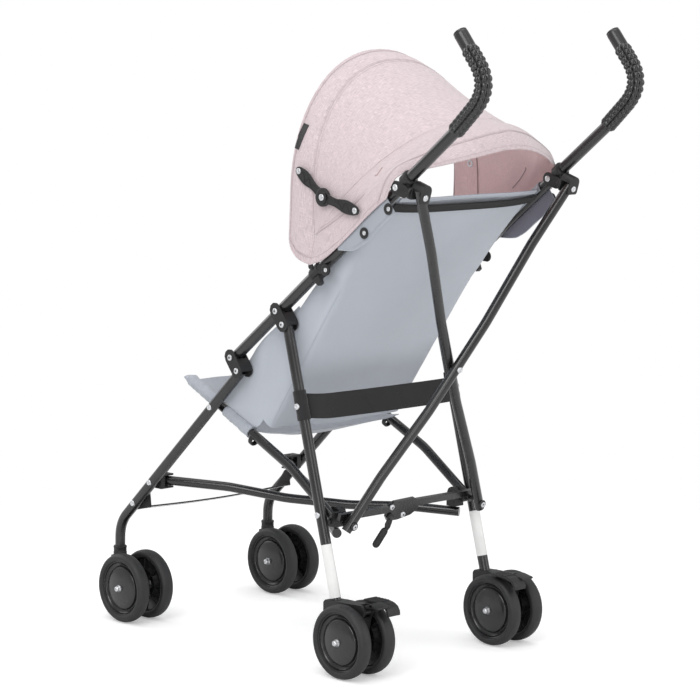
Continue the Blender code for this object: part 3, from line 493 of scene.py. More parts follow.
def hard_finish(name, colour, rough, metallic=0, grain=900, depth=0.00012, dust=0.1, coat=0, mottle=0.25):
    """Painted or moulded material: fine grain in the bump, mottled gloss and a little dust."""
    made, tree = new_finish(name)
    vector = place_on(tree)
    cloudy = speckle(tree, vector, 26, 5)
    fine = speckle(tree, vector, grain)
    tone = blend_of(tree, between(tree, cloudy, 0, 1), times(colour, 1 - mottle), times(colour, 1 + mottle))
    specks = between(tree, speckle(tree, vector, 420, 4, 0.7), 0, dust, 0.6, 0.8)
    gloss = maths(
        tree, "ADD", between(tree, cloudy, rough - 0.07, rough + 0.08), between(tree, fine, -0.03, 0.03)
    )
    shade(
        tree, Base_Color=blend_of(tree, specks, tone, (0.32, 0.31, 0.3)), Roughness=gloss, Metallic=metallic
    )
    shade(tree, Normal=bump(tree, fine, 0.55, depth), Coat_Weight=coat, Coat_Roughness=0.18)
    return made


def bands(tree, vector, period, direction):
    """Threads: a rounded wave with this period in metres along one direction."""
    scale = 2 * math.pi / (20 * period)
    wave = add(tree, "TexWave", Vector=vector, Scale=scale, Distortion=0.35, Detail=1, Detail_Scale=0.6)
    wave.wave_type = "BANDS"
    wave.bands_direction = direction
    wave.wave_profile = "SIN"
    return wave.outputs["Fac"]


def cloth_finish(name, light, dark, period, depth, slub, sheen=0.25, rough=0.86, source="UV", wide=1):
    """Woven cloth: crossing threads, slubs along both directions, soft wear and a little sheen."""
    made, tree = new_finish(name)
    vector = place_on(tree, source)
    weave = maths(tree, "MULTIPLY", bands(tree, vector, period, "X"), bands(tree, vector, period * wide, "Y"))
    along = speckle(tree, place_on(tree, source, (80, 1400, 1)), 1, 3, 0.6)
    across = speckle(tree, place_on(tree, source, (1400, 95, 1)), 1, 3, 0.6)
    cross = maths(tree, "ADD", maths(tree, "MULTIPLY", along, 0.55), maths(tree, "MULTIPLY", across, 0.45))
    share = between(tree, cross, 0.5 - slub, 0.5 + slub, 0.36, 0.64)
    share = maths(tree, "ADD", share, between(tree, speckle(tree, vector, 34, 4), -0.05, 0.05))
    share = maths(tree, "ADD", share, between(tree, weave, -0.1, 0.1, 0, 1))
    soft = bump(tree, speckle(tree, vector, 90), 0.35, 0.0006)
    threads = bump(tree, cross, 0.4, depth * 0.8, Normal=soft)
    shade(tree, Base_Color=blend_of(tree, between(tree, share, 0, 1, 0, 1), dark, light))
    shade(tree, Normal=bump(tree, weave, 0.55, depth, Normal=threads), Specular_IOR_Level=0.25)
    shade(
        tree, Roughness=between(tree, cross, rough - 0.05, rough + 0.06), Sheen_Weight=sheen,
        Sheen_Roughness=0.5
    )
    return made


def metal_finish(name, colour):
    made, tree = new_finish(name)
    vector = place_on(tree)
    cloudy = speckle(tree, vector, 300, 4)
    tone = blend_of(tree, between(tree, cloudy, 0, 1), times(colour, 0.82), times(colour, 1.08))
    grain = bump(tree, speckle(tree, vector, 1500), 0.4, 0.00006)
    shade(tree, Base_Color=tone, Roughness=between(tree, cloudy, 0.22, 0.4), Normal=grain, Metallic=0.85)
    return made


def material(name):
    """Finds a finish by name, or makes it."""
    found = bpy.data.materials.get(name)
    if found is not None:
        return found
    tones = bpy.context.scene.stroller_colours
    paint, plastic = tuple(tones.frame_paint), tuple(tones.plastic)
    # The third tint here is the inner face of the unlined canopy cloth, painted lighter for the light that
    # shines through it.
    pink, grey, lit_inside_tone = tuple(tones.canopy), tuple(tones.seat), tuple(tones.lit_inside_tone)
    hard = {
        "satin_paint": (paint, 0.26, 0.15, 1100, 0.00005, 0.05, 0.55),
        "moulded_plastic": (plastic, 0.5, 0, 1900),
        "grip_rubber": (times(plastic, 0.9), 0.28, 0, 1500, 0.00006, 0.08, 0.35),
        "tyre_rubber": (times(plastic, 1.35), 0.55, 0, 1300, 0.00018, 0.16),
        "wheel_gloss": (times(plastic, 1.05), 0.24, 0, 1500, 0.00004, 0.07, 0.2),
        "blank_label": ((0.8, 0.8, 0.79), 0.42, 0, 700, 0.00004, 0.04, 0.1, 0.03),
    }
    if name in hard:
        return hard_finish(name, *hard[name])
    if name == "zinc":
        return metal_finish(name, (0.72, 0.73, 0.75))
    seat = (0.0007, 0.0001, 0.22, 0.3)
    thread = (0.0007, 0.00008, 0.4, 0.2, 0.7, "Object")
    woven_ones = {
        "canopy_cloth": (pink, 1.18, 0.76, 0.0012, 0.00026, 0.7),
        "canopy_cloth_wrap": (pink, 1.08, 0.78, 0.0011, 0.00022, 0.62, 0.25, 0.86, "Object"),
        # Inner face of the canopy: the same cloth painted lighter, for light shining through it.
        "canopy_inside_painted_light": (lit_inside_tone, 1.12, 0.84, 0.0011, 0.00022, 0.5),
        "seat_cloth": (grey, 1.05, 0.95, *seat),
        # The seat cloth again, darker: painted shade for the side flaps and the seat pan.
        "seat_cloth_painted_shade": (grey, 0.82, 0.73, *seat),
        "seat_cloth_wrap": (grey, 0.9, 0.78, *seat, 0.86, "Object"),
        "seat_reverse": ((0.23, 0.225, 0.275), 1.13, 0.87, 0.0007, 0.0001, 0.3),
        "step_mesh": ((0.67, 0.68, 0.7), 1.13, 0.866, 0.0016, 0.0003, 0.4),
        "black_webbing": ((0.022, 0.022, 0.0235), 1.364, 0.636, 0.0014, 0.0003, 0.5, 0.15, 0.8, "UV", 1.6),
        "black_binding": ((0.021, 0.021, 0.0225), 1.333, 0.667, 0.0012, 0.00025, 0.5, 0.15, 0.8, "Object"),
        "blank_tag": ((0.017, 0.017, 0.0185), 1.3, 0.7, 0.0006, 0.0001, 0.4, 0.35, 0.5, "Object"),
        "pink_thread": (pink, 0.88, 0.62, *thread),
        # Seam allowances seen from inside, toned from the inner face's painted light.
        "inside_seam_thread": (lit_inside_tone, 0.62, 0.42, *thread),
        "grey_thread": (grey, 0.9, 0.66, *thread),
        "black_thread": ((0.0375, 0.0375, 0.0415), 1.333, 0.667, *thread),
    }
    colour, light, dark, *weave = woven_ones[name]
    return cloth_finish(name, times(colour, light), times(colour, dark), *weave)


def length(name, description, default):
    return FloatProperty(name=name, description=description, default=default, unit="LENGTH")


def tint(name, description, default):
    return FloatVectorProperty(name=name, description=description, size=3, subtype="COLOR", default=default)


class StrollerSizes(bpy.types.PropertyGroup):
    handle_radius: length("Handle tube radius", "Outer radius of the handle tubes", 0.0095)
    leg_radius: length("Leg radius", "Outer radius of the front and rear legs", 0.009)
    rail_radius: length("Rail radius", "Outer radius of the seat rails and under-seat struts", 0.008)
    strut_radius: length("Strut radius", "Outer radius of the crossed back struts", 0.0083)
    rivet_radius: length("Rivet radius", "Radius of a rivet head", 0.0052)
    cloth_thickness: length("Cloth thickness", "Thickness of the seat and canopy cloth", 0.0014)


class StrollerColours(bpy.types.PropertyGroup):
    frame_paint: tint("Frame paint", "Satin paint on the tubes", (0.011, 0.011, 0.012))
    plastic: tint("Plastic", "Moulded fittings and wheels", (0.012, 0.012, 0.013))
    canopy: tint("Canopy", "Woven canopy cloth", (0.62, 0.52, 0.54))
    # Painted light: the canopy cloth's inner face, lighter for light shining through the unlined cloth.
    lit_inside_tone: tint("Canopy lining", "Inside of the canopy cloth", (0.8, 0.57, 0.57))
    seat: tint("Seat", "Seat cloth", (0.45, 0.48, 0.535))


def sizes():
    return bpy.context.scene.stroller_sizes


def choose_faces(obj, test):
    """Selects the faces that pass a test and goes to edit mode."""
    pick(obj)
    bpy.context.tool_settings.mesh_select_mode = (False, False, True)
    for group in (obj.data.vertices, obj.data.edges, obj.data.polygons):
        for item in group:
            item.select = False
    for face in obj.data.polygons:
        face.select = test(face)
    bpy.ops.object.mode_set(mode="EDIT")


def open_ends(obj, wall=0.0011, depth=0.01):
    """Sinks the flat end caps of a bar, so that it reads as a tube."""
    choose_faces(obj, lambda face: len(face.vertices) > 4)
    bpy.ops.mesh.inset(thickness=wall, depth=0.0, use_individual=True)
    bpy.ops.mesh.extrude_faces_move(TRANSFORM_OT_shrink_fatten={"value": -depth})
    bpy.ops.object.mode_set(mode="OBJECT")
    return obj


def dressed(nodes, finish, width=0.0006):
    """Gives frame nodes their material and softened edges, and leaves their meshes alone."""
    for each in nodes:
        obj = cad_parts[each]
        obj.data.materials.clear()
        obj.data.materials.append(material(finish))
        weld = obj.modifiers.new("weld", "WELD")
        weld.merge_threshold = 1e-5
        flat = obj.modifiers.new("flat", "DECIMATE")
        flat.decimate_type = "DISSOLVE"
        flat.angle_limit = math.radians(1.0)
        soft = obj.modifiers.new("soft", "BEVEL")
        soft.width = width
        soft.segments = 3
        soft.limit_method = "ANGLE"
        soft.angle_limit = math.radians(42)
        soft.harden_normals = True


PEDAL_COVER = mm(
    (-20, 12.5), (10, 11.2), (28, 6), (33, 0), (34.5, -6), (37.5, -6), (37, 1), (32.5, 8.5), (24, 13),
    (10, 15.5), (-20, 15.5)
)
PEDAL_NECK = mm((2.5, 5), (20, 8.5), (20, 15.5), (2.5, 10.2), (-2, 6))
PEDAL_BRIDGE = mm((12.5, 10), (33, 6.5), (36.5, 11), (14, 15.5))


class STROLLER_OT_frame_tubes(bpy.types.Operator):
    """Painted steel tubes: handles, legs, seat rails and the crossed struts."""

    bl_idname = "stroller.frame_tubes"
    bl_label = "Frame tubes"

    def execute(self, context):
        size = sizes()

        def painted(obj, name, node, body=None):
            named(obj, name, "satin_paint", body or node, [node])

        for name, side in SIDES:
            fx, rx = side * FRAME_X, side * RAIL_X
            path = [at(fx, on_handle(-0.0095)), at(fx, on_handle(GRIP_START + 0.004))]
            painted(
                tube([path], size.handle_radius, 32), f"handle_bar_{name}", f"handle_tube_{name}",
                f"{name}_frame"
            )
            path = bend([at(fx, p) for p in (KNEE_PIVOT, LEG_BEND, (SWIVEL_Y, 0.116))], 0.08, 12)
            painted(tube([path], size.leg_radius, 32), f"front_leg_bar_{name}", f"front_leg_{name}")
            path = [at(fx, SHOULDER_PIVOT), at(fx, FOOT)]
            painted(tube([path], size.leg_radius, 32), f"rear_leg_bar_{name}", f"rear_leg_{name}")
            end = REAR_PIVOT + (REAR_PIVOT - RAIL_ELBOW).normalized() * 0.0085
            path = bend([at(rx, p) for p in (RAIL_TIP, RAIL_PIVOT, RAIL_ELBOW, end)], 0.15, 10)
            obj = open_ends(tube([path], size.rail_radius, 32), depth=0.004)
            painted(obj, f"rail_bar_{name}", f"seat_rail_{name}")

        hang = (REAR_PIVOT.x - 0.002, REAR_PIVOT.y - UNDER_HANG)
        rise = Vector((0, 0, 1))
        bows = {
            "back": ((0.17, 0), (0.4, 0.009), (0.66, 0.009), (0.86, 0)),
            "under": ((0.22, 0), (0.42, 0.0088), (0.64, 0.0088), (0.84, 0)),
        }
        for kind, x0, first, x1, last, up, radius, depth in (
            ("back", STRUT_TOP_X, STRUT_TOP, STRUT_LOW_X, STRUT_LOW, OUT, size.strut_radius, 0.01),
            ("under", UNDER_FRONT_X, FRONT_PIN, UNDER_REAR_X, hang, rise, size.rail_radius, 0.006),
        ):
            for letter, side in (("a", 1), ("b", -1)):
                start = at(side * x0, first)
                run = at(-side * x1, last) - start
                past = 0.0118 / STRUT_RUN if kind == "back" else 0.0078 / run.length
                lifts = ((-past, 0), *bows[kind], (1 + past, 0))
                path = bend([start + run * t - up * side * lift for t, lift in lifts], 0.25, 6)
                part = f"{kind}_strut_{letter}"
                painted(open_ends(tube([path], radius, 32), depth=depth), f"{part}_bar", part)
        return {"FINISHED"}


class STROLLER_OT_fittings(bpy.types.Operator):
    """Moulded brackets, yokes, clips, forks and housings, with collars and ferrules."""

    bl_idname = "stroller.fittings"
    bl_label = "Fittings"

    def execute(self, context):
        kinds = ("knee_bracket", "shoulder_bracket", "canopy_clip", "rear_yoke", "lower_yoke")
        kinds += ("front_yoke", "caster", "rear_housing")
        dressed([f"{kind}_{name}" for kind in kinds for name, side in SIDES], "moulded_plastic", 0.0009)
        dressed(["crossbar_left", "crossbar_right"], "satin_paint", 0.0007)
        hub = at(0.05, behind(REAR_PIVOT, 0.035, 0.0045))
        eye = mm((3.1, 0), (6.6, 0), (7.2, 0.6), (7.2, 2.6), (6.6, 3.2), (3.1, 3.2))
        neck = mm((44, 8), (56, 8), (58.5, 16), (57, 23.5), (61.5, 29), (53, 33.5), (45.5, 23.5), (44, 15))
        paddle = capsule(Vector((0.058, 0.03)), Vector((0.0685, 0.05)), 0.0074, 0.0076, 12)
        groove = capsule(Vector((0.0585, 0.031)), Vector((0.068, 0.049)), 0.005, 0.005, 12)
        rim = [at(x, behind(REAR_PIVOT, 0.04, lower)) for x, lower in groove]
        parts = [turned(eye, hub, OUT, 32), strut_plate(neck, REAR_PIVOT, 0.0352, 0.038, 0.0008)]
        parts += [strut_plate(paddle, REAR_PIVOT, 0.0345, 0.04, 0.0014), tube([rim + [rim[0]]], 0.0005, 8)]
        moulded(joined(*parts), "release_paddle", "release_lever", ["release_lever"])
        for name, side in SIDES:
            fx = side * FRAME_X
            tx = side * STRUT_TOP_X
            inner = side * (FRAME_X - 0.0155)
            parts = []
            rise = Vector((tx, -0.0093))

            def arc(radius, start, stop):
                turns = np.linspace(start, stop, 17)
                return [rise + Vector((radius * math.cos(t), -radius * math.sin(t))) for t in turns]

            for near, far in ((-0.0118, -0.0088), (0.0088, 0.0116)):
                arch = arc(0.0112, 0, math.pi)
                arch += [Vector((tx - 0.0112, 0.007)), Vector((tx - 0.009, 0.01))]
                arch += [Vector((tx + 0.009, 0.01)), Vector((tx + 0.0112, 0.007))]
                parts.append(strut_plate(arch, STRUT_TOP, near, far, 0.001))
            crown = arc(0.0112, 0, math.pi) + arc(0.009, math.pi, 0)
            parts.append(strut_plate(crown, STRUT_TOP, -0.01, 0.01, 0.0003))
            bridge = capsule(
                Vector((inner + side * 0.01, 0.0)), Vector((side * (FRAME_X + 0.0028), 0.0)), 0.0105, None, 8
            )
            parts.append(strut_plate(bridge, STRUT_TOP, -0.0182, -0.01, 0.0016))
            link = capsule(YOKE_PIN, YOKE_PIN + BACK * 0.0185, 0.0108, 0.01, 12)
            for low, high in ((0.01, 0.013), (-0.013, -0.01)):
                parts.append(side_plate(link, side * (FRAME_X + low), side * (FRAME_X + high), 0.0009))
            moulded(joined(*parts), f"yoke_cap_{name}", f"top_yoke_{name}", [f"top_yoke_{name}"])
            ring = mm(
                (9.2, 0), (11.2, 0), (12.6, 1.2), (12.6, 10), (13.4, 11.2), (13.4, 15), (12.4, 16.6),
                (9.2, 17)
            )
            collar = turned(ring, at(fx, on_handle(YOKE + 0.0115)), way(ALONG), 40)
            moulded(collar, f"top_collar_{name}", f"{name}_frame")
            ring = mm(
                (8.6, -1), (10.4, -1), (11.8, 0), (12.1, 3), (11.4, 4.2), (11.4, 10.4), (12, 11.6),
                (11.8, 14.2), (10.4, 15.2), (8.6, 15.2)
            )
            ferrule = turned(ring, at(fx, (SWIVEL_Y, 0.1125)), (0, 0, 1), 40)
            moulded(ferrule, f"leg_ferrule_{name}", f"front_leg_{name}")
            pin = REAR_HUB + Vector((0.028, WHEEL_R - 0.01))
            parts = []
            for outline, x0, x1 in (
                (PEDAL_COVER, -0.0405, -0.0136), (PEDAL_NECK, -0.0064, 0.0064), (PEDAL_BRIDGE, -0.02, 0.0064)
            ):
                places = bend([pin + Vector(p) for p in outline], 0.006, 4)
                parts.append(side_plate(places, side * (FRAME_X + x0), side * (FRAME_X + x1), 0.0007, 3))
            for size, reach in ((0.0058, 0.0066), (0.0022, 0.01)):
                parts.append(
                    tube([[at(side * (FRAME_X - reach), pin), at(side * (FRAME_X + reach), pin)]], size, 24)
                )
            for y, z in mm((-15, 15.5), (-8, 15.6), (-1, 15.6), (6, 15.6), (13, 15.2)):
                ridge = pin + Vector((y, z))
                path = [at(side * (FRAME_X - 0.0385), ridge), at(side * (FRAME_X - 0.0156), ridge)]
                parts.append(tube([path], 0.001, 8))
            moulded(joined(*parts), f"brake_lever_{name}", f"brake_pedal_{name}", [f"brake_pedal_{name}"])
            rx = side * RAIL_X
            ring = mm((7.8, 0), (9.8, 0), (10.6, 1), (10.6, 7), (9.6, 8.2), (7.8, 8.2))
            along = (Vector((0.29, 0.357)) - Vector((0.297, 0.3535))).normalized()
            stop = turned(ring, at(rx, (0.297, 0.3535)), way(along), 36)
            moulded(stop, f"rail_stop_{name}", f"seat_rail_{name}")
        return {"FINISHED"}


class STROLLER_OT_rivets(bpy.types.Operator):
    """Zinc rivet heads at every pivot."""

    bl_idname = "stroller.rivets"
    bl_label = "Rivets"

    def execute(self, context):
        r = sizes().rivet_radius
        for name, side in SIDES:
            out = (side, 0, 0)
            cheek = side * (FRAME_X + 0.0134)
            leg = side * (FRAME_X + 0.0086)
            pins = [on_handle(s, drop) for s in (0, SHOULDER) for drop in (0, PIVOT_DROP)]
            spots = [(at(cheek, pin), out, r, 0.002) for pin in pins]
            spots.append((at(side * (FRAME_X + 0.0133), YOKE_PIN), out, r * 1.05, 0.002))
            spots.append((at(side * (FRAME_X - 0.0134), YOKE_PIN), (-side, 0, 0), r, 0.0018))
            riveted(spots, f"frame_rivets_{name}", f"{name}_frame")
            spots = [(at(leg, place), out, r, 0.0022) for place in (RAIL_PIVOT, FRONT_PIN, LEG_RIVET)]
            riveted(spots, f"front_leg_rivets_{name}", f"front_leg_{name}")
            band = SHOULDER_PIVOT + REAR_DIR * 0.1365
            spots = [
                (at(leg, REAR_PIVOT), out, r, 0.0022), (at(side * (FRAME_X + 0.0118), band), out, r, 0.002)
            ]
            riveted(spots, f"rear_leg_rivets_{name}", f"rear_leg_{name}")
            spots = [(at(side * STRUT_TOP_X, behind(STRUT_TOP, 0.0116)), OUT, r, 0.002)]
            riveted(spots, f"top_yoke_rivet_{name}", f"top_yoke_{name}")
            spots = [(at(side * STRUT_LOW_X, behind(REAR_PIVOT, 0.0558, -0.001)), OUT, r * 1.1, 0.002)]
            riveted(spots, f"rear_yoke_rivet_{name}", f"rear_yoke_{name}")
        cross = STRUT_TOP_X / (STRUT_TOP_X + STRUT_LOW_X)
        centre = at(0.0, behind(STRUT_TOP, 0.009, STRUT_RUN * cross))
        riveted([(centre + OUT * 0.0084, OUT, r, 0.0022)], "cross_rivet", "back_strut_b")
        spots = []
        for x, lower in ((0.05, -0.013), (0.0199, 0.004)):
            spots.append((at(x, behind(REAR_PIVOT, 0.035, lower)), OUT, r, 0.0024))
        riveted(spots, "crossbar_rivets", "crossbar_left")
        return {"FINISHED"}


class STROLLER_OT_grips(bpy.types.Operator):
    """Beaded hand grips that hook forward at the top."""

    bl_idname = "stroller.grips"
    bl_label = "Hand grips"

    def execute(self, context):
        sides = 64
        pitch = 0.0098
        for name, side in SIDES:
            fx = side * FRAME_X
            first = on_handle(GRIP_START) + ALONG * 0.0009
            hook = bend([at(fx, first), at(fx, (0.85, 0.958)), at(fx, (0.7832, 1.0402))], 0.052, 24)
            reach = length_of(hook)
            count = round(reach / (pitch / 8))
            path = resample(hook, count)
            obj = tube([path], 0.0128, sides)
            for index, vertex in enumerate(obj.data.vertices):
                ring = index // sides
                if ring >= count:
                    ring = 0 if (vertex.co - path[0]).length < (vertex.co - path[-1]).length else count - 1
                s = reach * ring / (count - 1)
                out = (vertex.co - path[ring]).normalized()
                turn = 2 * math.pi * (index % sides) / sides
                left = reach - s
                if s < 0.006:
                    radius = 0.0116 + 0.0012 * math.sin(math.pi * s / 0.012)
                elif left < 0.03:
                    radius = 0.0118 - 0.0006 * max(0.0, 1.0 - left / 0.0015)
                else:
                    bead = abs(math.sin(math.pi * (reach - 0.03 - s) / pitch))
                    lobe = abs(math.cos(4 * turn))
                    radius = 0.011 + 0.0036 * (bead * lobe) ** 0.5
                vertex.co = path[ring] + out * radius
            named(obj, f"grip_{name}", "grip_rubber", f"{name}_frame", [f"hand_grip_{name}"], 60)
        return {"FINISHED"}


class STROLLER_OT_wheels(bpy.types.Operator):
    """Eight wheels: tyre, ribbed dish and rivet cap."""

    bl_idname = "stroller.wheels"
    bl_label = "Wheels"

    def execute(self, context):
        tyre = mm((47.4, 33), (48, 36.2), (50, 38.6), (53, 39.4), (56.5, 38.4))
        tyre += [(0.0592, 0.0354), (0.0606, 0.0312), (WHEEL_R, 0.0265), (0.0606, 0.022), (0.0592, 0.018)]
        tyre += [(0.0565, 0.0153), (0.053, 0.0145), (0.05, 0.015), (0.048, 0.017), (0.0474, 0.02)]
        dish = mm(
            (0, 38), (8, 37.9), (20, 36.8), (31, 35), (36.8, 33.4), (38.1, 32.2), (38.6, 29.6),
            (39.2, 28.4), (40.2, 28), (44, 29.2), (45.8, 31.2), (46.6, 33.6), (47.6, 34.2), (47.6, 21),
            (46.4, 20.4), (46, 23.6), (13.6, 24), (12.2, 22.6), (11.2, 15.2), (10.4, 14.4), (5, 14.4),
            (4.5, 15), (4.5, 36.8), (0, 36.8)
        )
        cap = mm(
            (0, 37.2), (6.4, 37.2), (6.6, 38.6), (6, 40), (5.2, 41.2), (4.8, 43.8), (4, 45.4), (2.6, 46.1),
            (1.6, 45.6), (1.2, 44.6), (0, 44.4)
        )
        rib = mm((11, 24.2), (10.8, 16.5), (20, 17.8), (34, 18.8), (46.6, 20.6), (46.6, 24.2))
        axis = ((0, 0, 0), (0, 0, 1))
        spokes = []
        for i in range(8):
            turn = Matrix.Rotation(math.pi * i / 4, 3, "Z")
            wide = 0.0016 if i % 2 else 0.0009
            spokes.append(
                plate(rib, lambda u, v, w, turn=turn: turn @ Vector((u, w, v)), -wide, wide, 0.0004, 2)
            )
        rim = mm((27, 24), (27, 18.6), (28.4, 18.6), (28.4, 24))
        patterns = (
            ("tyre", turned(tyre, *axis, 72), "tyre_rubber", "wheel_plastic"),
            (
                "dish", joined(turned(dish, *axis, 72), *spokes, turned(rim, *axis, 48)), "wheel_gloss",
                "wheel_plastic"
            ),
            ("cap", turned(cap, *axis, 32), "zinc", None),
        )
        for name, side in SIDES:
            for end, hub in (("front", FRONT_HUB), ("rear", REAR_HUB)):
                for row, outward in (("outer", side), ("inner", -side)):
                    body = f"{end}_wheel_{row}_{name}"
                    place = Matrix.Translation(at(side * FRAME_X, hub)) @ facing((outward, 0, 0))
                    for part, pattern, finish, slot in patterns:
                        nodes = [body] if part == "dish" else ()
                        named(
                            twin_of(pattern, place), f"{end}_{part}_{row}_{name}", finish, body, nodes
                        )
        for part, pattern, finish, slot in patterns:
            bpy.data.objects.remove(pattern)
        return {"FINISHED"}


PANEL_DROP = mm((-24.3, 130), (30.6, 113), (161.6, 71), (258.6, 41.5), (334.1, 21), (410, 8.5), (469, 3.5))
WING_TOP = mm(
    (-24.3, 95), (20, 42), (36.8, 30), (106.9, 22.6), (165.1, 15.2), (212.4, 5.3), (262, 0), (469, -4.5)
)
WING_X = mm((-24.3, 158.8), (269.5, 159.2), (273.8, 164.8), (469, 164.8))
PANEL_ROWS = (-0.0243, 0.005, 0.035, 0.08, 0.125, 0.17, 0.215, 0.2695, 0.2738, 0.32, 0.365, 0.41, 0.44, 0.469)


SIDE_FRONT = [Vector(p) for p in ((0.212, 0.415), (0.2442, 0.445), (0.27, 0.469))]
SIDE_FRONT += [on_handle(s, drop) for s, drop in ((0.0, 0.015), (0.03, 0.0108), (0.07, 0.01), (0.11, 0.0095))]
SIDE_FRONT += [on_handle(s, drop) for s, drop in ((0.15, 0.0095), (0.168, 0.009))]
SIDE_REAR = [Vector(p) for p in ((0.216, 0.413), (0.26, 0.392), (0.3, 0.3735), (0.32, 0.395))]
SIDE_REAR += [Vector((0.323, 0.445)), Vector((0.33, 0.485)), on_handle(0.1069, 0.03), on_handle(0.168, 0.02)]


def back_row(s):
    """One row of the seat back, from its left wing to its right."""
    panel = mix(PANEL_DROP, s)
    wing = min(mix(WING_TOP, s), panel - 0.0005)
    edge = mix(WING_X, s)
    height = s / 0.469
    sag = 0.011 * math.sin(math.pi * min(max(height, 0.0), 1.0)) + 0.002
    fold = 0.0022 * math.sin(9.0 * height)
    half = [(edge - 0.006 * part**1.5, wing + (panel - wing) * part) for part in (0.0, 0.5)]
    for t in (0.0, 0.12, 0.32, 0.54, 0.78):
        half.append(
            ((edge - 0.007) * (1 - t), panel + sag * math.sin(math.pi / 2 * t) + fold * math.sin(5.2 * t))
        )
    row = [at(x, on_handle(s, drop)) for x, drop in half]
    row.append(at(0.0, on_handle(s, panel + sag + fold * math.sin(5.2))))
    return row + [at(-x, on_handle(s, drop)) for x, drop in reversed(half)]


def creases(scale, amount, seed, stretch=(1.0, 1.0, 1.0)):
    """Soft folds of cloth: how far a point moves along its normal."""

    def move(place):
        spot = Vector((place.x * stretch[0], place.y * stretch[1], place.z * stretch[2])) * scale
        return amount * (
            noise.noise(spot + Vector((seed, 0, 0))) + 0.4 * noise.noise(spot * 2.3 + Vector((0, seed, 0)))
        )

    return move


def snap_fasteners(name, places, body):
    """Press studs: a black ring with a zinc cap."""
    ring = mm((4.2, -0.4), (8.4, -0.4), (9.3, 0.4), (9.1, 1.4), (7.4, 2.2), (5, 1.8), (4.2, 0.8))
    spots = [(point, direction, 1.0, 1.0) for point, direction in places]
    named(copies(turned(ring, (0, 0, 0), (0, 0, 1), 32), spots), f"{name}_rings", "moulded_plastic", body)
    spots = [(point, direction, 0.0041, 0.0015) for point, direction in places]
    riveted(spots, f"{name}_caps", body)


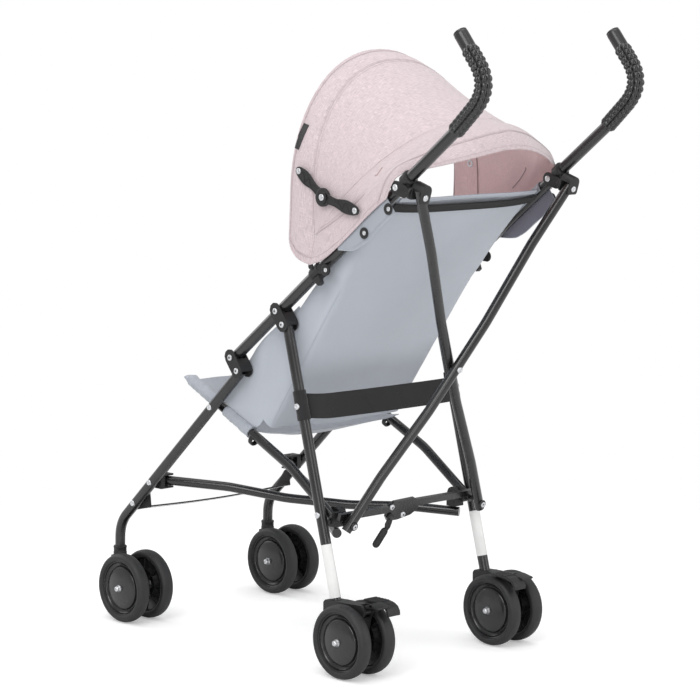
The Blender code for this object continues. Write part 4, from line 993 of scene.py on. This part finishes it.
class STROLLER_OT_seat(bpy.types.Operator):
    """Sling seat: back, head hem and webbing, side flaps with press studs, and the pan on its rails."""

    bl_idname = "stroller.seat"
    bl_label = "Seat"

    def execute(self, context):
        thick = sizes().cloth_thickness
        levels = 3
        low = creases(7.0, 0.004, 3.1, (1.0, 1.4, 0.6))
        fine = creases(30.0, 0.0007, 8.4)

        def settle(place):
            share = min(1.0, max(0.15, (0.62 - place.z) / 0.22))
            rim = min(1.0, (0.155 - abs(place.x)) / 0.03) if abs(place.x) < 0.155 else 0.0
            top = min(1.0, max(0.0, (on_handle(0.469).y + 0.03 - place.z) / 0.05))
            return (low(place) * share + fine(place)) * max(0.0, rim) * top

        rows = [back_row(s) for s in PANEL_ROWS]
        back = woven(rows, thick, levels, settle)
        named(back, "seat_back_cloth", "seat_cloth", "left_frame", ["seat_back"])
        hem = []
        for s in (0.4602, 0.4612, 0.465, 0.469, 0.4698):
            swell = 0.0012 if 0.461 < s < 0.4695 else 0.0004
            hem.append([p + way(DOWN * swell) for p in back_row(min(s, 0.469))[2:-2]])
        hem = woven(hem, 0.0016, 2)
        named(hem, "seat_head_hem", "seat_cloth", "left_frame")
        web = []
        for s in (0.4407, 0.443, 0.457, 0.46):
            line = []
            for i in range(17):
                t = -1 + i / 8
                line.append(at(0.1648 * t, on_handle(s, 0.008 + 0.0066 * (1 - t**4))))
            web.append(line)
        web = woven(web, 0.0018, 2)
        named(web, "head_band", "black_webbing", "left_frame", ["head_webbing"])
        line = [at(0.15 * (-1 + i / 24), on_handle(0.4618, 0.006)) for i in range(49)]
        threads = stitches([on_cloth(hem, line, 0.0003, lambda point: UNDER)])
        named(threads, "seat_head_stitching", "grey_thread", "left_frame")
        lines = [[at(0.16 * (-1 + i / 24), on_handle(s, 0.009)) for i in range(49)] for s in (0.443, 0.4576)]
        ties = stitches([on_cloth(web, line, 0.0003, lambda point: UNDER) for line in lines])
        named(ties, "head_band_stitching", "black_thread", "left_frame")
        lines = []
        for end in (2, -3):
            lines.append(resample([back_row(-0.015 + 0.275 * i / 20)[end] for i in range(21)], 60))
        aslant = Vector((3.5, 0.0, 0.0))
        lines = [
            on_cloth(back, line, 0.0003, lambda p: (UNDER + aslant * p.x).normalized()) for line in lines
        ]
        seams = named(stitches(lines), "seat_side_stitching", "grey_thread", "left_frame")
        trims = [hem, web, threads, ties, seams]
        folding((back, *trims))

        for name, side in SIDES:
            rows = []
            for s in np.linspace(0.329, 0.47, 15):
                reach = mix(
                    ((0.329, 0.0), (0.341, 0.35), (0.358, 0.8), (0.385, 1.0), (0.454, 1.0), (0.47, 0.84)), s
                )
                wave = 0.001 * math.sin(90.0 * s)
                ring = mm((-11.4, 5), (-10.8, -4), (-7.4, -9.2), (0, -11.6), (7.4, -9.4))
                ring += [(0.0112, -0.003), (0.012, 0.004), (0.0121 + wave * 0.4, 0.004 + 0.0135 * reach)]
                ring += [(0.0116 + wave, 0.004 + 0.027 * reach)]
                rows.append([at(side * (FRAME_X + u), on_handle(s, v)) for u, v in ring])
            middle = at(side * FRAME_X, on_handle(0.39))
            # The flap's outer face is the seat cloth darkened with painted shade.
            flap = woven(rows, thick, 2, None, ("seat_cloth_painted_shade", "seat_reverse"), middle)
            named(flap, f"seat_flap_{name}", None, f"{name}_frame")
            rim = on_cloth(
                flap, resample([row[-1] for row in rows], 60), -0.0002, lambda point: Vector((side, 0, 0))
            )
            named(
                tube([rim], 0.0011, 8), f"seat_flap_rim_{name}", "seat_cloth_wrap", f"{name}_frame",
            )
            line = [row[-1] - way(DOWN * 0.0052) for row in rows[3:-1]]
            thread = stitches(
                [on_cloth(flap, resample(line, 60), 0.0003, lambda point: Vector((side, 0, 0)))]
            )
            named(thread, f"seat_flap_stitching_{name}", "grey_thread", f"{name}_frame")
            spots = [(0.463, 0.018), (0.395, 0.0172)]
            places = [(at(side * (FRAME_X + 0.013), on_handle(s, drop)), (side, 0, 0)) for s, drop in spots]
            snap_fasteners(f"seat_snap_{name}", places, f"{name}_frame")
            tab = capsule(on_handle(0.2735, 0.004), on_handle(0.2845, 0.0135), 0.0085, 0.009, 8)
            tab = side_plate(tab, side * (FRAME_X + 0.0098), side * (FRAME_X + 0.0114), 0.0004, 2)
            named(tab, f"seat_tab_{name}", "black_binding", f"{name}_frame")
            places = [(at(side * (FRAME_X + 0.0117), on_handle(0.2838, 0.013)), (side, 0, 0))]
            snap_fasteners(f"tab_snap_{name}", places, f"{name}_frame")

            rows = []
            for k in range(9):
                t = k / 8
                row = []
                for p, q in zip(resample(SIDE_FRONT, 25), resample(SIDE_REAR, 25)):
                    spot = p.lerp(q, t)
                    s = (p - KNEE).dot(ALONG)
                    puff = 0.008 * math.sin(math.pi * (s - 0.02) / 0.11) if 0.02 < s < 0.13 else 0.0
                    x = 0.16 - 0.0028 * t + puff * (1 - t) ** 1.5 + 0.0012 * math.sin(5.0 * t + 40.0 * spot.x)
                    row.append(at(side * min(x, 0.1612 + puff), spot))
                rows.append(row)
            panel = woven(rows, thick, 2, creases(34.0, 0.0008, 7.3))
            named(panel, f"seat_side_{name}", "seat_cloth", f"{name}_frame")

        pan_sag = ((0.134, 0.0), (0.16, 0.012), (0.2294, 0.036), (0.285, 0.018), (0.329, 0.008))
        rows = []
        for k in range(13):
            y = 0.1335 + (0.33 - 0.1335) * k / 12
            edge = mix(RAIL_LINE, y)
            lift = 0.0 if y < 0.285 else (y - 0.285) / 0.044 * 0.0255
            sag = mix(pan_sag, y)
            ripple = 0.0016 * math.sin(60.0 * (y - 0.1335))
            row = []
            for i in range(17):
                t = -1 + i / 8
                drop = sag * (1 - abs(t) ** 2.4) + ripple * math.cos(3.1 * t)
                row.append(at(0.149 * t, Vector((y, edge + lift - drop))))
            rows.append(row)
        pan = woven(rows, thick, 2, creases(16.0, 0.0016, 5.5))
        # The pan is the seat cloth darkened with painted shade.
        named(pan, "seat_pan_cloth", "seat_cloth_painted_shade", "seat_rail_left", ["seat_pan"])
        folding([pan])
        gather = creases(120.0, 0.0011, 2.2, (1.0, 2.0, 1.0))
        for name, side in SIDES:
            rx = side * RAIL_X
            first = (RAIL_PIN - RAIL_TIP).normalized()
            second = (RAIL_ELBOW - RAIL_PIN).normalized()
            runs = [
                (RAIL_TIP - first * 0.012, RAIL_PIN - first * 0.0165),
                (RAIL_PIN + second * 0.0165, RAIL_PIN + second * 0.086)
            ]
            sleeve = gathered([resample([at(rx, a), at(rx, b)], 40) for a, b in runs], 0.0104, gather)
            line = way(first)
            end = at(rx, RAIL_TIP - first * 0.012)
            for vertex in sleeve.data.vertices:
                along = (vertex.co - end).dot(line)
                if along < 0.0125:
                    square = vertex.co - end - line * along
                    rise = square - Vector((square.x, 0.0, 0.0))
                    vertex.co -= rise * (1.0 - max(0.12, along / 0.0125) ** 0.6)
            named(sleeve, f"rail_sleeve_{name}", "seat_cloth_wrap", f"seat_rail_{name}")
        return {"FINISHED"}


class STROLLER_OT_straps(bpy.types.Operator):
    """Band behind the seat, footrest strap, and the blank labels on the rear legs."""

    bl_idname = "stroller.straps"
    bl_label = "Straps and labels"

    def execute(self, context):
        band = mm((165.7, 2), (159, 11), (148, 24), (120, 26.8), (60, 28.5), (0, 29))
        rows = []
        for z in (0.409, 0.41, 0.42, 0.438, 0.448, 0.449):
            leg_y = SHOULDER_PIVOT.x + (SHOULDER_PIVOT.y - z) / math.tan(REAR_SLOPE)
            half = [at(x, (leg_y + back, z)) for x, back in band]
            rows.append(half + [Vector((-p.x, p.y, p.z)) for p in reversed(half[:-1])])
        strap = woven(rows, 0.0017, 2, creases(22.0, 0.0007, 1.7))
        named(strap, "rear_band_webbing", "black_webbing", "rear_leg_left", ["rear_band"])
        lines = []
        for x in (0.128, 0.041, 0.037, -0.036, -0.04, -0.128):
            lines.append([at(x + 0.004 * k, (0.485, 0.412 + 0.034 * k / 5)) for k in range(6)])
        thread = stitches([on_cloth(strap, line, 0.0004, lambda point: Vector((0, 1, 0))) for line in lines])
        named(thread, "rear_band_stitching", "black_thread", "rear_leg_left")
        folding((strap, thread))
        for name, side in SIDES:
            fx = side * FRAME_X
            high = SHOULDER_PIVOT + REAR_DIR * 0.111
            low = SHOULDER_PIVOT + REAR_DIR * 0.16
            gather = creases(90.0, 0.0007, 4.1)
            sleeve = gathered([resample([at(fx, high), at(fx, low)], 16)], 0.0111, gather)
            named(sleeve, f"band_sleeve_{name}", "black_binding", f"rear_leg_{name}")
            start = SHOULDER_PIVOT + REAR_DIR * (0.366 if side > 0 else 0.354)
            stop = SHOULDER_PIVOT + REAR_DIR * (0.454 if side > 0 else 0.432)
            length = (stop - start).length
            wall = [(0.00905, 0), (0.00925, 0), (0.00925, length), (0.00905, length)]
            label = turned(wall, at(fx, start), way(REAR_DIR), 48)
            named(label, f"leg_label_{name}", "blank_label", f"rear_leg_{name}")

        rows = []
        for y, z in ((-0.0085, 0.1968), (0.0, 0.1984), (0.01, 0.2), (0.02, 0.2034), (0.0285, 0.2064)):
            rows.append(
                [at(-0.165 + 0.33 * i / 16, (y, z - 0.004 * math.sin(math.pi * i / 16))) for i in range(17)]
            )
        step = woven(rows, 0.0016, 2)
        named(step, "footrest_web", "step_mesh", "front_leg_left", ["footrest_strap"])
        edges = joined(*[tube([row], 0.0013, 12) for row in (rows[0], rows[-1])])
        edges = named(edges, "footrest_edges", "black_binding", "front_leg_left")
        folding((step, edges))
        for name, side in SIDES:
            web = mm((-10, 194.5), (30, 204.5), (26.2, 237), (15, 230))
            web = side_plate(web, side * 0.1634, side * 0.1668, 0.0008, 3)
            named(web, f"footrest_gusset_{name}", "black_binding", f"front_leg_{name}")
        return {"FINISHED"}


SEAM_V = Vector((0.4773, 0.7135))
SEAM_TOP = Vector((0.4736, 0.99))
REAR_TOP = Vector((0.6571, 0.901))
REAR_LIFT = mm(
    (191.8, 598, 750), (191.8, 602, 770), (190.5, 612, 793), (187, 623, 809), (178, 635, 823),
    (160, 648, 840), (135, 663, 857), (105, 678, 871), (70, 692, 882), (34, 701, 889), (0, 704, 891.5)
)
HEM_TOP = mm(
    (191.8, 624, 769), (191.8, 630, 786), (190.5, 638, 806), (187, 647, 822), (180, 655, 832.5),
    (165, 664, 840.5), (140, 676, 850), (110, 690.5, 860), (75, 706, 870), (36, 720, 880), (0, 726, 885)
)
HEM_LOW = mm(
    (191.8, 642, 781), (191.2, 648, 796), (189, 655, 811), (184, 659, 818.5), (180, 661, 820.8),
    (165, 670.3, 823.5), (140, 688, 828.8), (100, 713.7, 839.2), (60, 731, 849), (30, 736.7, 854.9),
    (0, 737, 856.6)
)
COLUMNS = 41


def both_halves(half):
    half = resample(half, COLUMNS // 2 + 1)
    return half + [Vector((-p.x, p.y, p.z)) for p in reversed(half[:-1])]


def hoop(foot, apex, straight, half_x, start=None):
    """The canopy's outline at one place: straight up from its foot, then round over the top."""
    half = [] if start is None else [at(half_x, start)]
    half.append(at(half_x, foot))
    for i in range(25):
        angle = math.pi / 2 * i / 24
        share = straight + (1 - straight) * math.sin(angle)
        half.append(at(half_x * math.cos(angle) ** 0.92 if i < 24 else 0.0, foot + (apex - foot) * share))
    return both_halves(half)


def hem(half):
    return both_halves([at(x, (y, z)) for x, y, z in half])


def loft(hoops, steps, sag):
    """Rows between hoops on a smooth curve, drawn in a little between them as taut cloth is."""
    rows = []
    last = len(hoops) - 1
    for k in range(last):
        before, a, b, after = hoops[max(k - 1, 0)], hoops[k], hoops[k + 1], hoops[min(k + 2, last)]
        for i in range(steps if k < last - 1 else steps + 1):
            t = i / steps
            row = []
            for p, q, r, s in zip(before, a, b, after):
                curve = 2 * q + (r - p) * t + (2 * p - 5 * q + 4 * r - s) * t * t
                row.append((curve + (3 * q - p - 3 * r + s) * t**3) / 2)
            rows.append(row)
    total = len(rows) - 1
    for k, row in enumerate(rows):
        pull = sag * math.sin(math.pi * k / total)
        for i, p in enumerate(row):
            row[i] = p + (CANOPY_MIDDLE - p).normalized() * pull * math.sin(math.pi * i / (len(row) - 1))
    return rows


def toward(row, other, distance):
    """A line this far in from one row towards another."""
    return [a + (b - a).normalized() * distance for a, b in zip(row, other)]


def canopy_hoops():
    brow = (Vector((0.417, 0.713)), Vector((0.4286, 1.008)))
    ridge = (Vector((0.445, 0.713)), Vector((0.457, 1.001)))
    front = []
    starts = {0: (0.4164, 0.703), 0.1: (0.4196, 0.6902), 0.35: (0.428, 0.68), 0.75: (0.441, 0.6712)}
    for t, start in starts.items():
        foot, apex = (p.lerp(q, t) for p, q in zip(brow, ridge))
        front.append(hoop(foot, apex, 0.26, CANOPY_X + 0.001 * t, Vector(start)))
    front.append(hoop(SEAM_V, SEAM_TOP, 0.29, CANOPY_X, Vector((0.465, 0.6653))))
    top = []
    for t, straight in ((0.0, 0.29), (0.32, 0.27), (0.66, 0.24), (1.0, 0.2)):
        foot = SEAM_V + Vector((0.002 * t, 0.0005))
        top.append(hoop(foot, SEAM_TOP.lerp(REAR_TOP, t), straight, CANOPY_X))
    rear = [
        hoop(SEAM_V + Vector((-0.0015, 0.0003)), REAR_TOP, 0.2, CANOPY_X - 0.0005, Vector((0.4632, 0.6654))),
        hoop(Vector((0.498, 0.722)), Vector((0.664, 0.899)), 0.17, CANOPY_X, Vector((0.4944, 0.6745))),
        hoop(Vector((0.555, 0.746)), Vector((0.682, 0.896)), 0.08, CANOPY_X + 0.001, Vector((0.5388, 0.704))),
        hem(REAR_LIFT),
        hem(HEM_TOP),
        hem(HEM_LOW),
    ]
    return front, top, rear


class STROLLER_OT_canopy(bpy.types.Operator):
    """Canopy of three sewn gores with its hems, seams and a blank tag."""

    bl_idname = "stroller.canopy"
    bl_label = "Canopy"

    def execute(self, context):
        front, top, rear = canopy_hoops()
        levels = 2
        broad = creases(6.0, 0.0014, 6.3)
        tight = creases(40.0, 0.0004, 9.7)

        def billow(place):
            return broad(place) + tight(place)

        gores = {}
        for part, hoops, sag in (("front", front, 0.0015), ("top", top, 0.005), ("rear", rear, 0.002)):
            rows = loft(hoops, 3, sag)
            body = "left_frame" if part == "rear" else f"canopy_{part}"
            # Inner faces take the cloth painted lighter, for light shining through.
            finishes = ("canopy_cloth", "canopy_inside_painted_light")
            cloth = woven(rows, sizes().cloth_thickness, levels, billow, finishes, CANOPY_MIDDLE)
            named(cloth, f"canopy_{part}_gore", None, body, [f"canopy_{part}"])
            gores[part] = (cloth, rows, body)

        trims = {part: [] for part in gores}

        def trim(part, obj, name, finish):
            named(obj, name, finish, gores[part][2])
            trims[part].append(obj)

        def inset(rows, depth):
            """A line this far in from a gore's near side edge, its outer row and its far side edge."""
            low = [row[0] + (row[2] - row[0]).normalized() * depth for row in reversed(rows[1:])]
            high = [row[-1] + (row[-3] - row[-1]).normalized() * depth for row in rows[1:]]
            return low + toward(rows[0], rows[3], depth)[1:-1] + high

        cloth, rows, body = gores["front"]
        skirts = [[row[0] for row in rows], [row[-1] for row in rows]]
        rims = [on_cloth(cloth, line, -0.0006) for line in (rows[0], *skirts)]
        trim("front", tube(rims, 0.0016, 10), "canopy_front_piping", "canopy_cloth_wrap")
        folds = [on_cloth(cloth, resample(inset(rows, 0.0105), 240), 0.0001)]
        near_seam = [p for p in toward(rows[-1], rows[-2], 0.001) if p.z > SEAM_V.y]
        folds.append(on_cloth(cloth, near_seam, 0.0001))
        trim("front", tube(folds, 0.0007, 8), "canopy_front_seam", "pink_thread")
        lines = [inset(rows, 0.0125), [p for p in toward(rows[-1], rows[-3], 0.004) if p.z > SEAM_V.y]]
        lines = [on_cloth(cloth, resample(line, 240), 0.0002) for line in lines]
        trim("front", stitches(lines), "canopy_front_stitching", "pink_thread")

        within = [on_cloth(cloth, near_seam, 0.0002, lambda point: -from_middle(point))]
        trim("front", tube(within, 0.0011, 8), "canopy_front_seam_allowance", "inside_seam_thread")
        eye = mm((2.2, -0.4), (4, -0.4), (4.4, 0.4), (3.8, 1.2), (2.8, 1.2), (2.2, 0.6))
        spots = []
        for name, side in SIDES:
            hole = at(side * 0.18, (0.4592, 0.8144))
            hit, place, normal, face = cloth.ray_cast(hole, (side, 0.0, 0.0), distance=0.03)
            spots.append((place, normal, 1.45, 1.2))
        trim("front", copies(turned(eye, (0, 0, 0), (0, 0, 1), 28), spots), "canopy_eyelets", "zinc")

        cloth, rows, body = gores["top"]
        lines = [on_cloth(cloth, resample(toward(rows[0], rows[3], 0.004), 240)[8:-8], 0.0002)]
        trim("top", stitches(lines), "canopy_top_stitching", "pink_thread")

        cloth, rows, body = gores["rear"]
        skirts = [[row[0] for row in rows], [row[-1] for row in rows]]
        rims = [on_cloth(cloth, line, -0.0006) for line in (rows[-1], *skirts)]
        trim("rear", tube(rims, 0.0015, 10), "canopy_rear_piping", "canopy_cloth_wrap")
        folds = []
        lines = []
        for end, step in ((0, 1), (-1, -1)):
            edge = [row[end] + (row[end + step * 2] - row[end]).normalized() * 0.01 for row in rows[:-3]]
            lines.append(on_cloth(cloth, resample(edge, 120), 0.0002))
            sign = 1 if end == 0 else -1
            band = mm((479.5, 715), (513, 732), (560, 760), (590, 785))
            band = resample([at(sign * 0.192, place) for place in band], 60)
            folds.append(on_cloth(cloth, band, 0.0001))
            lines.append(on_cloth(cloth, [p + way((-0.002, 0.0036)) for p in band], 0.0002))
        folds.append(on_cloth(cloth, rows[-4], 0.0001))
        trim("rear", tube(folds, 0.001, 8), "canopy_rear_seam", "pink_thread")
        within = []
        for sign in (1, -1):
            line = [(0.606, 0.84), (0.605, 0.827), (0.603, 0.813), (0.582, 0.795), (0.559, 0.7777)]
            line = resample([at(sign * 0.185, place) for place in line], 40)
            within.append(on_cloth(cloth, line, 0.0002, lambda point: -from_middle(point)))
        trim("rear", tube(within, 0.0009, 8), "canopy_rear_seam_allowance", "inside_seam_thread")
        lines.append(on_cloth(cloth, resample(toward(rows[-1], rows[-3], 0.006), 240), 0.0002))
        lines.append(on_cloth(cloth, resample(toward(rows[-4], rows[-6], 0.003), 240), 0.0002))
        trim("rear", stitches(lines), "canopy_rear_stitching", "pink_thread")

        cloth, rows, body = gores["front"]
        hit, place, normal, face = cloth.closest_point_on_mesh(at(0.2, (0.4318, 0.877)))
        rise = (at(0.0, (0.443, 0.9)) - at(0.0, (0.431, 0.856))).normalized()
        rise = (rise - normal * rise.dot(normal)).normalized()
        aside = rise.cross(normal)

        def tag_place(u, v, w):
            spot = place + aside * u + rise * v
            laid = cloth.closest_point_on_mesh(spot)
            return laid[1] + laid[2] * (0.0009 + w)

        grid = [
            [tag_place(0.0065 * (i / 3 - 1), 0.0215 * (k / 4 - 1), 0.0) for i in range(7)] for k in range(9)
        ]
        trim("front", woven(grid, 0.0009, 1), "blank_tag", "blank_tag")
        edge = [grid[0][0], grid[0][-1], grid[-1][-1], grid[-1][0], grid[0][0]]
        edge = [p + (place - p).normalized() * 0.0016 + normal * 0.0006 for p in edge]
        lines = [resample([a, b], 10) for a, b in zip(edge, edge[1:])]
        trim("front", stitches(lines, 0.0026, 0.0002), "blank_tag_stitching", "black_thread")

        for part, (cloth, rows, body) in gores.items():
            folding((cloth, *trims[part]))
        return {"FINISHED"}


def leaf(a, b, widths):
    """An outline that swells and narrows along a line: (share of its length, half width) pairs."""
    run = b - a
    along = run.normalized()
    square = Vector((-along.y, along.x))
    up = [a + run * t + square * w for t, w in widths]
    down = [a + run * t - square * w for t, w in reversed(widths) if w > 0]
    return up + down


class STROLLER_OT_stays(bpy.types.Operator):
    """Folding stays on both sides of the canopy."""

    bl_idname = "stroller.stays"
    bl_label = "Canopy stays"

    def execute(self, context):
        front_rivet = Vector((0.4458, 0.8149))
        hub = Vector((0.5032, 0.7758))
        rear_rivet = Vector((0.5797, 0.7587))
        widths = ((-0.105, 0), (-0.1, 0.0026), (-0.06, 0.0052), (0, 0.0068), (0.1, 0.0084), (0.22, 0.0094))
        widths += (
            (0.34, 0.0092), (0.46, 0.0074), (0.56, 0.006), (0.68, 0.0058), (0.8, 0.0066), (0.95, 0.009)
        )
        widths = [(t, w * 1.15) for t, w in widths]
        for name, side in SIDES:
            for part, start, low, high in (
                ("front", front_rivet, 0.1942, 0.197), ("rear", rear_rivet, 0.1974, 0.2002)
            ):
                outline = leaf(start, hub, widths)
                parts = [side_plate(outline, side * low, side * high, 0.0005, 2)]
                disc = [
                    (0.0, low), (0.0142, low), (0.015, low + 0.0006), (0.015, high - 0.0006), (0.0142, high)
                ]
                if part == "rear":
                    disc += [(0.0108, high), (0.0104, high + 0.0008), (0.007, high + 0.0008), (0.0066, high)]
                disc += [(0.0, high)]
                parts.append(turned(disc, at(0.0, hub), (side, 0, 0), 48))
                run = hub - start
                along = run.normalized()
                square = Vector((-along.y, along.x))
                zigzag = []
                bends = ((0.1, 0), (0.14, 0.006), (0.3, -0.0062), (0.36, 0.0064), (0.52, -0.004), (0.56, 0))
                for t, w in bends:
                    zigzag.append(at(side * high, start + run * t + square * w))
                parts.append(tube([zigzag], 0.0007, 8))
                groove = leaf(start + run * 0.02, hub, [(t, w * 0.8) for t, w in widths[3:-1]])
                rim = [at(side * high, p) for p in groove]
                parts.append(tube([rim + [rim[0]]], 0.0005, 8))
                body = f"stay_{part}_{name}"
                moulded(joined(*parts), f"stay_leaf_{part}_{name}", body, [body])
                spots = [(at(side * (high + 0.0003), start), (side, 0, 0), 0.005, 0.0016)]
                if part == "rear":
                    spots.append((at(side * (high + 0.0003), hub), (side, 0, 0), 0.0056, 0.0018))
                riveted(spots, f"stay_rivet_{part}_{name}", body)
        return {"FINISHED"}


class STROLLER_OT_stage(bpy.types.Operator):
    """Pale floor and background, soft lamps and the camera."""

    bl_idname = "stroller.stage"
    bl_label = "Studio"

    def execute(self, context):
        scene = context.scene
        deselect()
        bpy.ops.mesh.primitive_plane_add(size=14.0, location=(0.0, 0.0, 0.0))
        floor = context.object
        edit(floor)
        bpy.ops.mesh.subdivide(number_cuts=3)
        bpy.ops.object.mode_set(mode="OBJECT")
        floor.name = "studio_floor"
        made, tree = new_finish("studio_floor")
        tone = blend_of(tree, speckle(tree, place_on(tree), 3), (0.86, 0.86, 0.86), (0.89, 0.89, 0.89))
        shade(tree, Base_Color=tone, Roughness=0.9, Specular_IOR_Level=0.1)
        seen = tree.nodes.new("ShaderNodeLightPath").outputs["Is Camera Ray"]
        reach = tree.nodes.new("ShaderNodeVectorMath")
        reach.operation = "LENGTH"
        wire(tree, reach.inputs[0], place_on(tree))
        far = maths(tree, "MULTIPLY", between(tree, reach.outputs["Value"], 0, 1, 0.7, 1.5), seen)
        glow = add(tree, "Emission", Strength=maths(tree, "MULTIPLY", seen, 0.3))
        lit = tree.nodes.new("ShaderNodeAddShader")
        wire(tree, lit.inputs[0], tree.nodes["Principled BSDF"].outputs["BSDF"])
        wire(tree, lit.inputs[1], glow.outputs["Emission"])
        either = tree.nodes.new("ShaderNodeMixShader")
        sources = (far, lit.outputs["Shader"], add(tree, "Emission").outputs["Emission"])
        for place, source in zip(either.inputs, sources):
            wire(tree, place, source)
        wire(tree, tree.nodes["Material Output"].inputs["Surface"], either.outputs["Shader"])
        floor.data.materials.append(made)

        world = bpy.data.worlds.new("studio")
        scene.world = world
        world.use_nodes = True
        tree = world.node_tree
        light = tree.nodes["Background"]
        light.inputs["Color"].default_value = (1, 1, 1, 1)
        light.inputs["Strength"].default_value = 0.62
        white = add(tree, "Background", Color=(1, 1, 1, 1))
        seen = tree.nodes.new("ShaderNodeLightPath").outputs["Is Camera Ray"]
        either = tree.nodes.new("ShaderNodeMixShader")
        sources = (seen, light.outputs["Background"], white.outputs["Background"])
        for place, source in zip(either.inputs, sources):
            wire(tree, place, source)
        wire(tree, tree.nodes["World Output"].inputs["Surface"], either.outputs["Shader"])

        middle = Vector((0.0, 0.0, 0.5))
        lamps = (
            ("key_lamp", (2.4, 1.3, 2.6), 2.2, 46.0),
            ("fill_lamp", (-1.6, 3.0, 1.6), 2.4, 22.0),
            ("front_lamp", (0.6, -3.0, 2.0), 2.4, 20.0),
            ("top_lamp", (0.0, 0.2, 3.4), 2.6, 26.0),
            ("low_lamp", (2.2, 2.4, 0.7), 1.2, 9.0),
        )
        for name, spot, width, power in lamps:
            bpy.ops.object.light_add(type="AREA", location=spot)
            lamp = context.object
            lamp.name = name
            lamp.data.shape = "DISK"
            lamp.data.size = width
            lamp.data.energy = power
            lamp.rotation_euler = (Vector(spot) - middle).to_track_quat("Z", "Y").to_euler()

        right = Vector((-0.72352, 0.69028, 0.00482))
        up = Vector((-0.08267, -0.09358, 0.99217))
        toward_eye = right.cross(up).normalized()
        up = toward_eye.cross(right).normalized()
        bpy.ops.object.camera_add(location=(3.1246, 3.2365, 1.0692))
        camera = context.object
        camera.name = "photo_camera"
        turn = Matrix((right.normalized(), up, toward_eye)).transposed()
        camera.rotation_euler = turn.to_euler()
        camera.data.sensor_width = 36.0
        camera.data.lens = 138.17
        camera.data.clip_end = 60.0
        scene.camera = camera
        scene.view_settings.view_transform = "Standard"
        return {"FINISHED"}


OPERATORS = (
    STROLLER_OT_frame_tubes,
    STROLLER_OT_fittings,
    STROLLER_OT_rivets,
    STROLLER_OT_grips,
    STROLLER_OT_wheels,
    STROLLER_OT_seat,
    STROLLER_OT_straps,
    STROLLER_OT_stays,
    STROLLER_OT_canopy,
    STROLLER_OT_stage,
)


class STROLLER_PT_panel(bpy.types.Panel):
    """Lists the stroller's sizes, colours and steps in the sidebar."""

    bl_idname = "STROLLER_PT_panel"
    bl_label = "Stroller"
    bl_space_type = "VIEW_3D"
    bl_region_type = "UI"
    bl_category = "Stroller"

    def draw(self, context):
        layout = self.layout
        for settings in (context.scene.stroller_sizes, context.scene.stroller_colours):
            for field in settings.bl_rna.properties.keys():
                if field not in ("rna_type", "name"):
                    layout.prop(settings, field)
        for operator in OPERATORS:
            layout.operator(operator.bl_idname)


CLASSES = (StrollerSizes, StrollerColours, *OPERATORS, STROLLER_PT_panel)


def register():
    for each in CLASSES:
        bpy.utils.register_class(each)
    bpy.types.Scene.stroller_sizes = PointerProperty(type=StrollerSizes)
    bpy.types.Scene.stroller_colours = PointerProperty(type=StrollerColours)


def unregister():
    del bpy.types.Scene.stroller_colours
    del bpy.types.Scene.stroller_sizes
    for each in reversed(CLASSES):
        bpy.utils.unregister_class(each)


def main():
    register()
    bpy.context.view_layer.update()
    bpy.ops.stroller.frame_tubes()
    bpy.ops.stroller.fittings()
    bpy.ops.stroller.rivets()
    bpy.ops.stroller.grips()
    bpy.ops.stroller.wheels()
    bpy.ops.stroller.seat()
    bpy.ops.stroller.straps()
    bpy.ops.stroller.stays()
    bpy.ops.stroller.canopy()
    bpy.ops.stroller.stage()
    deselect()


if __name__ == "__main__":
    main()
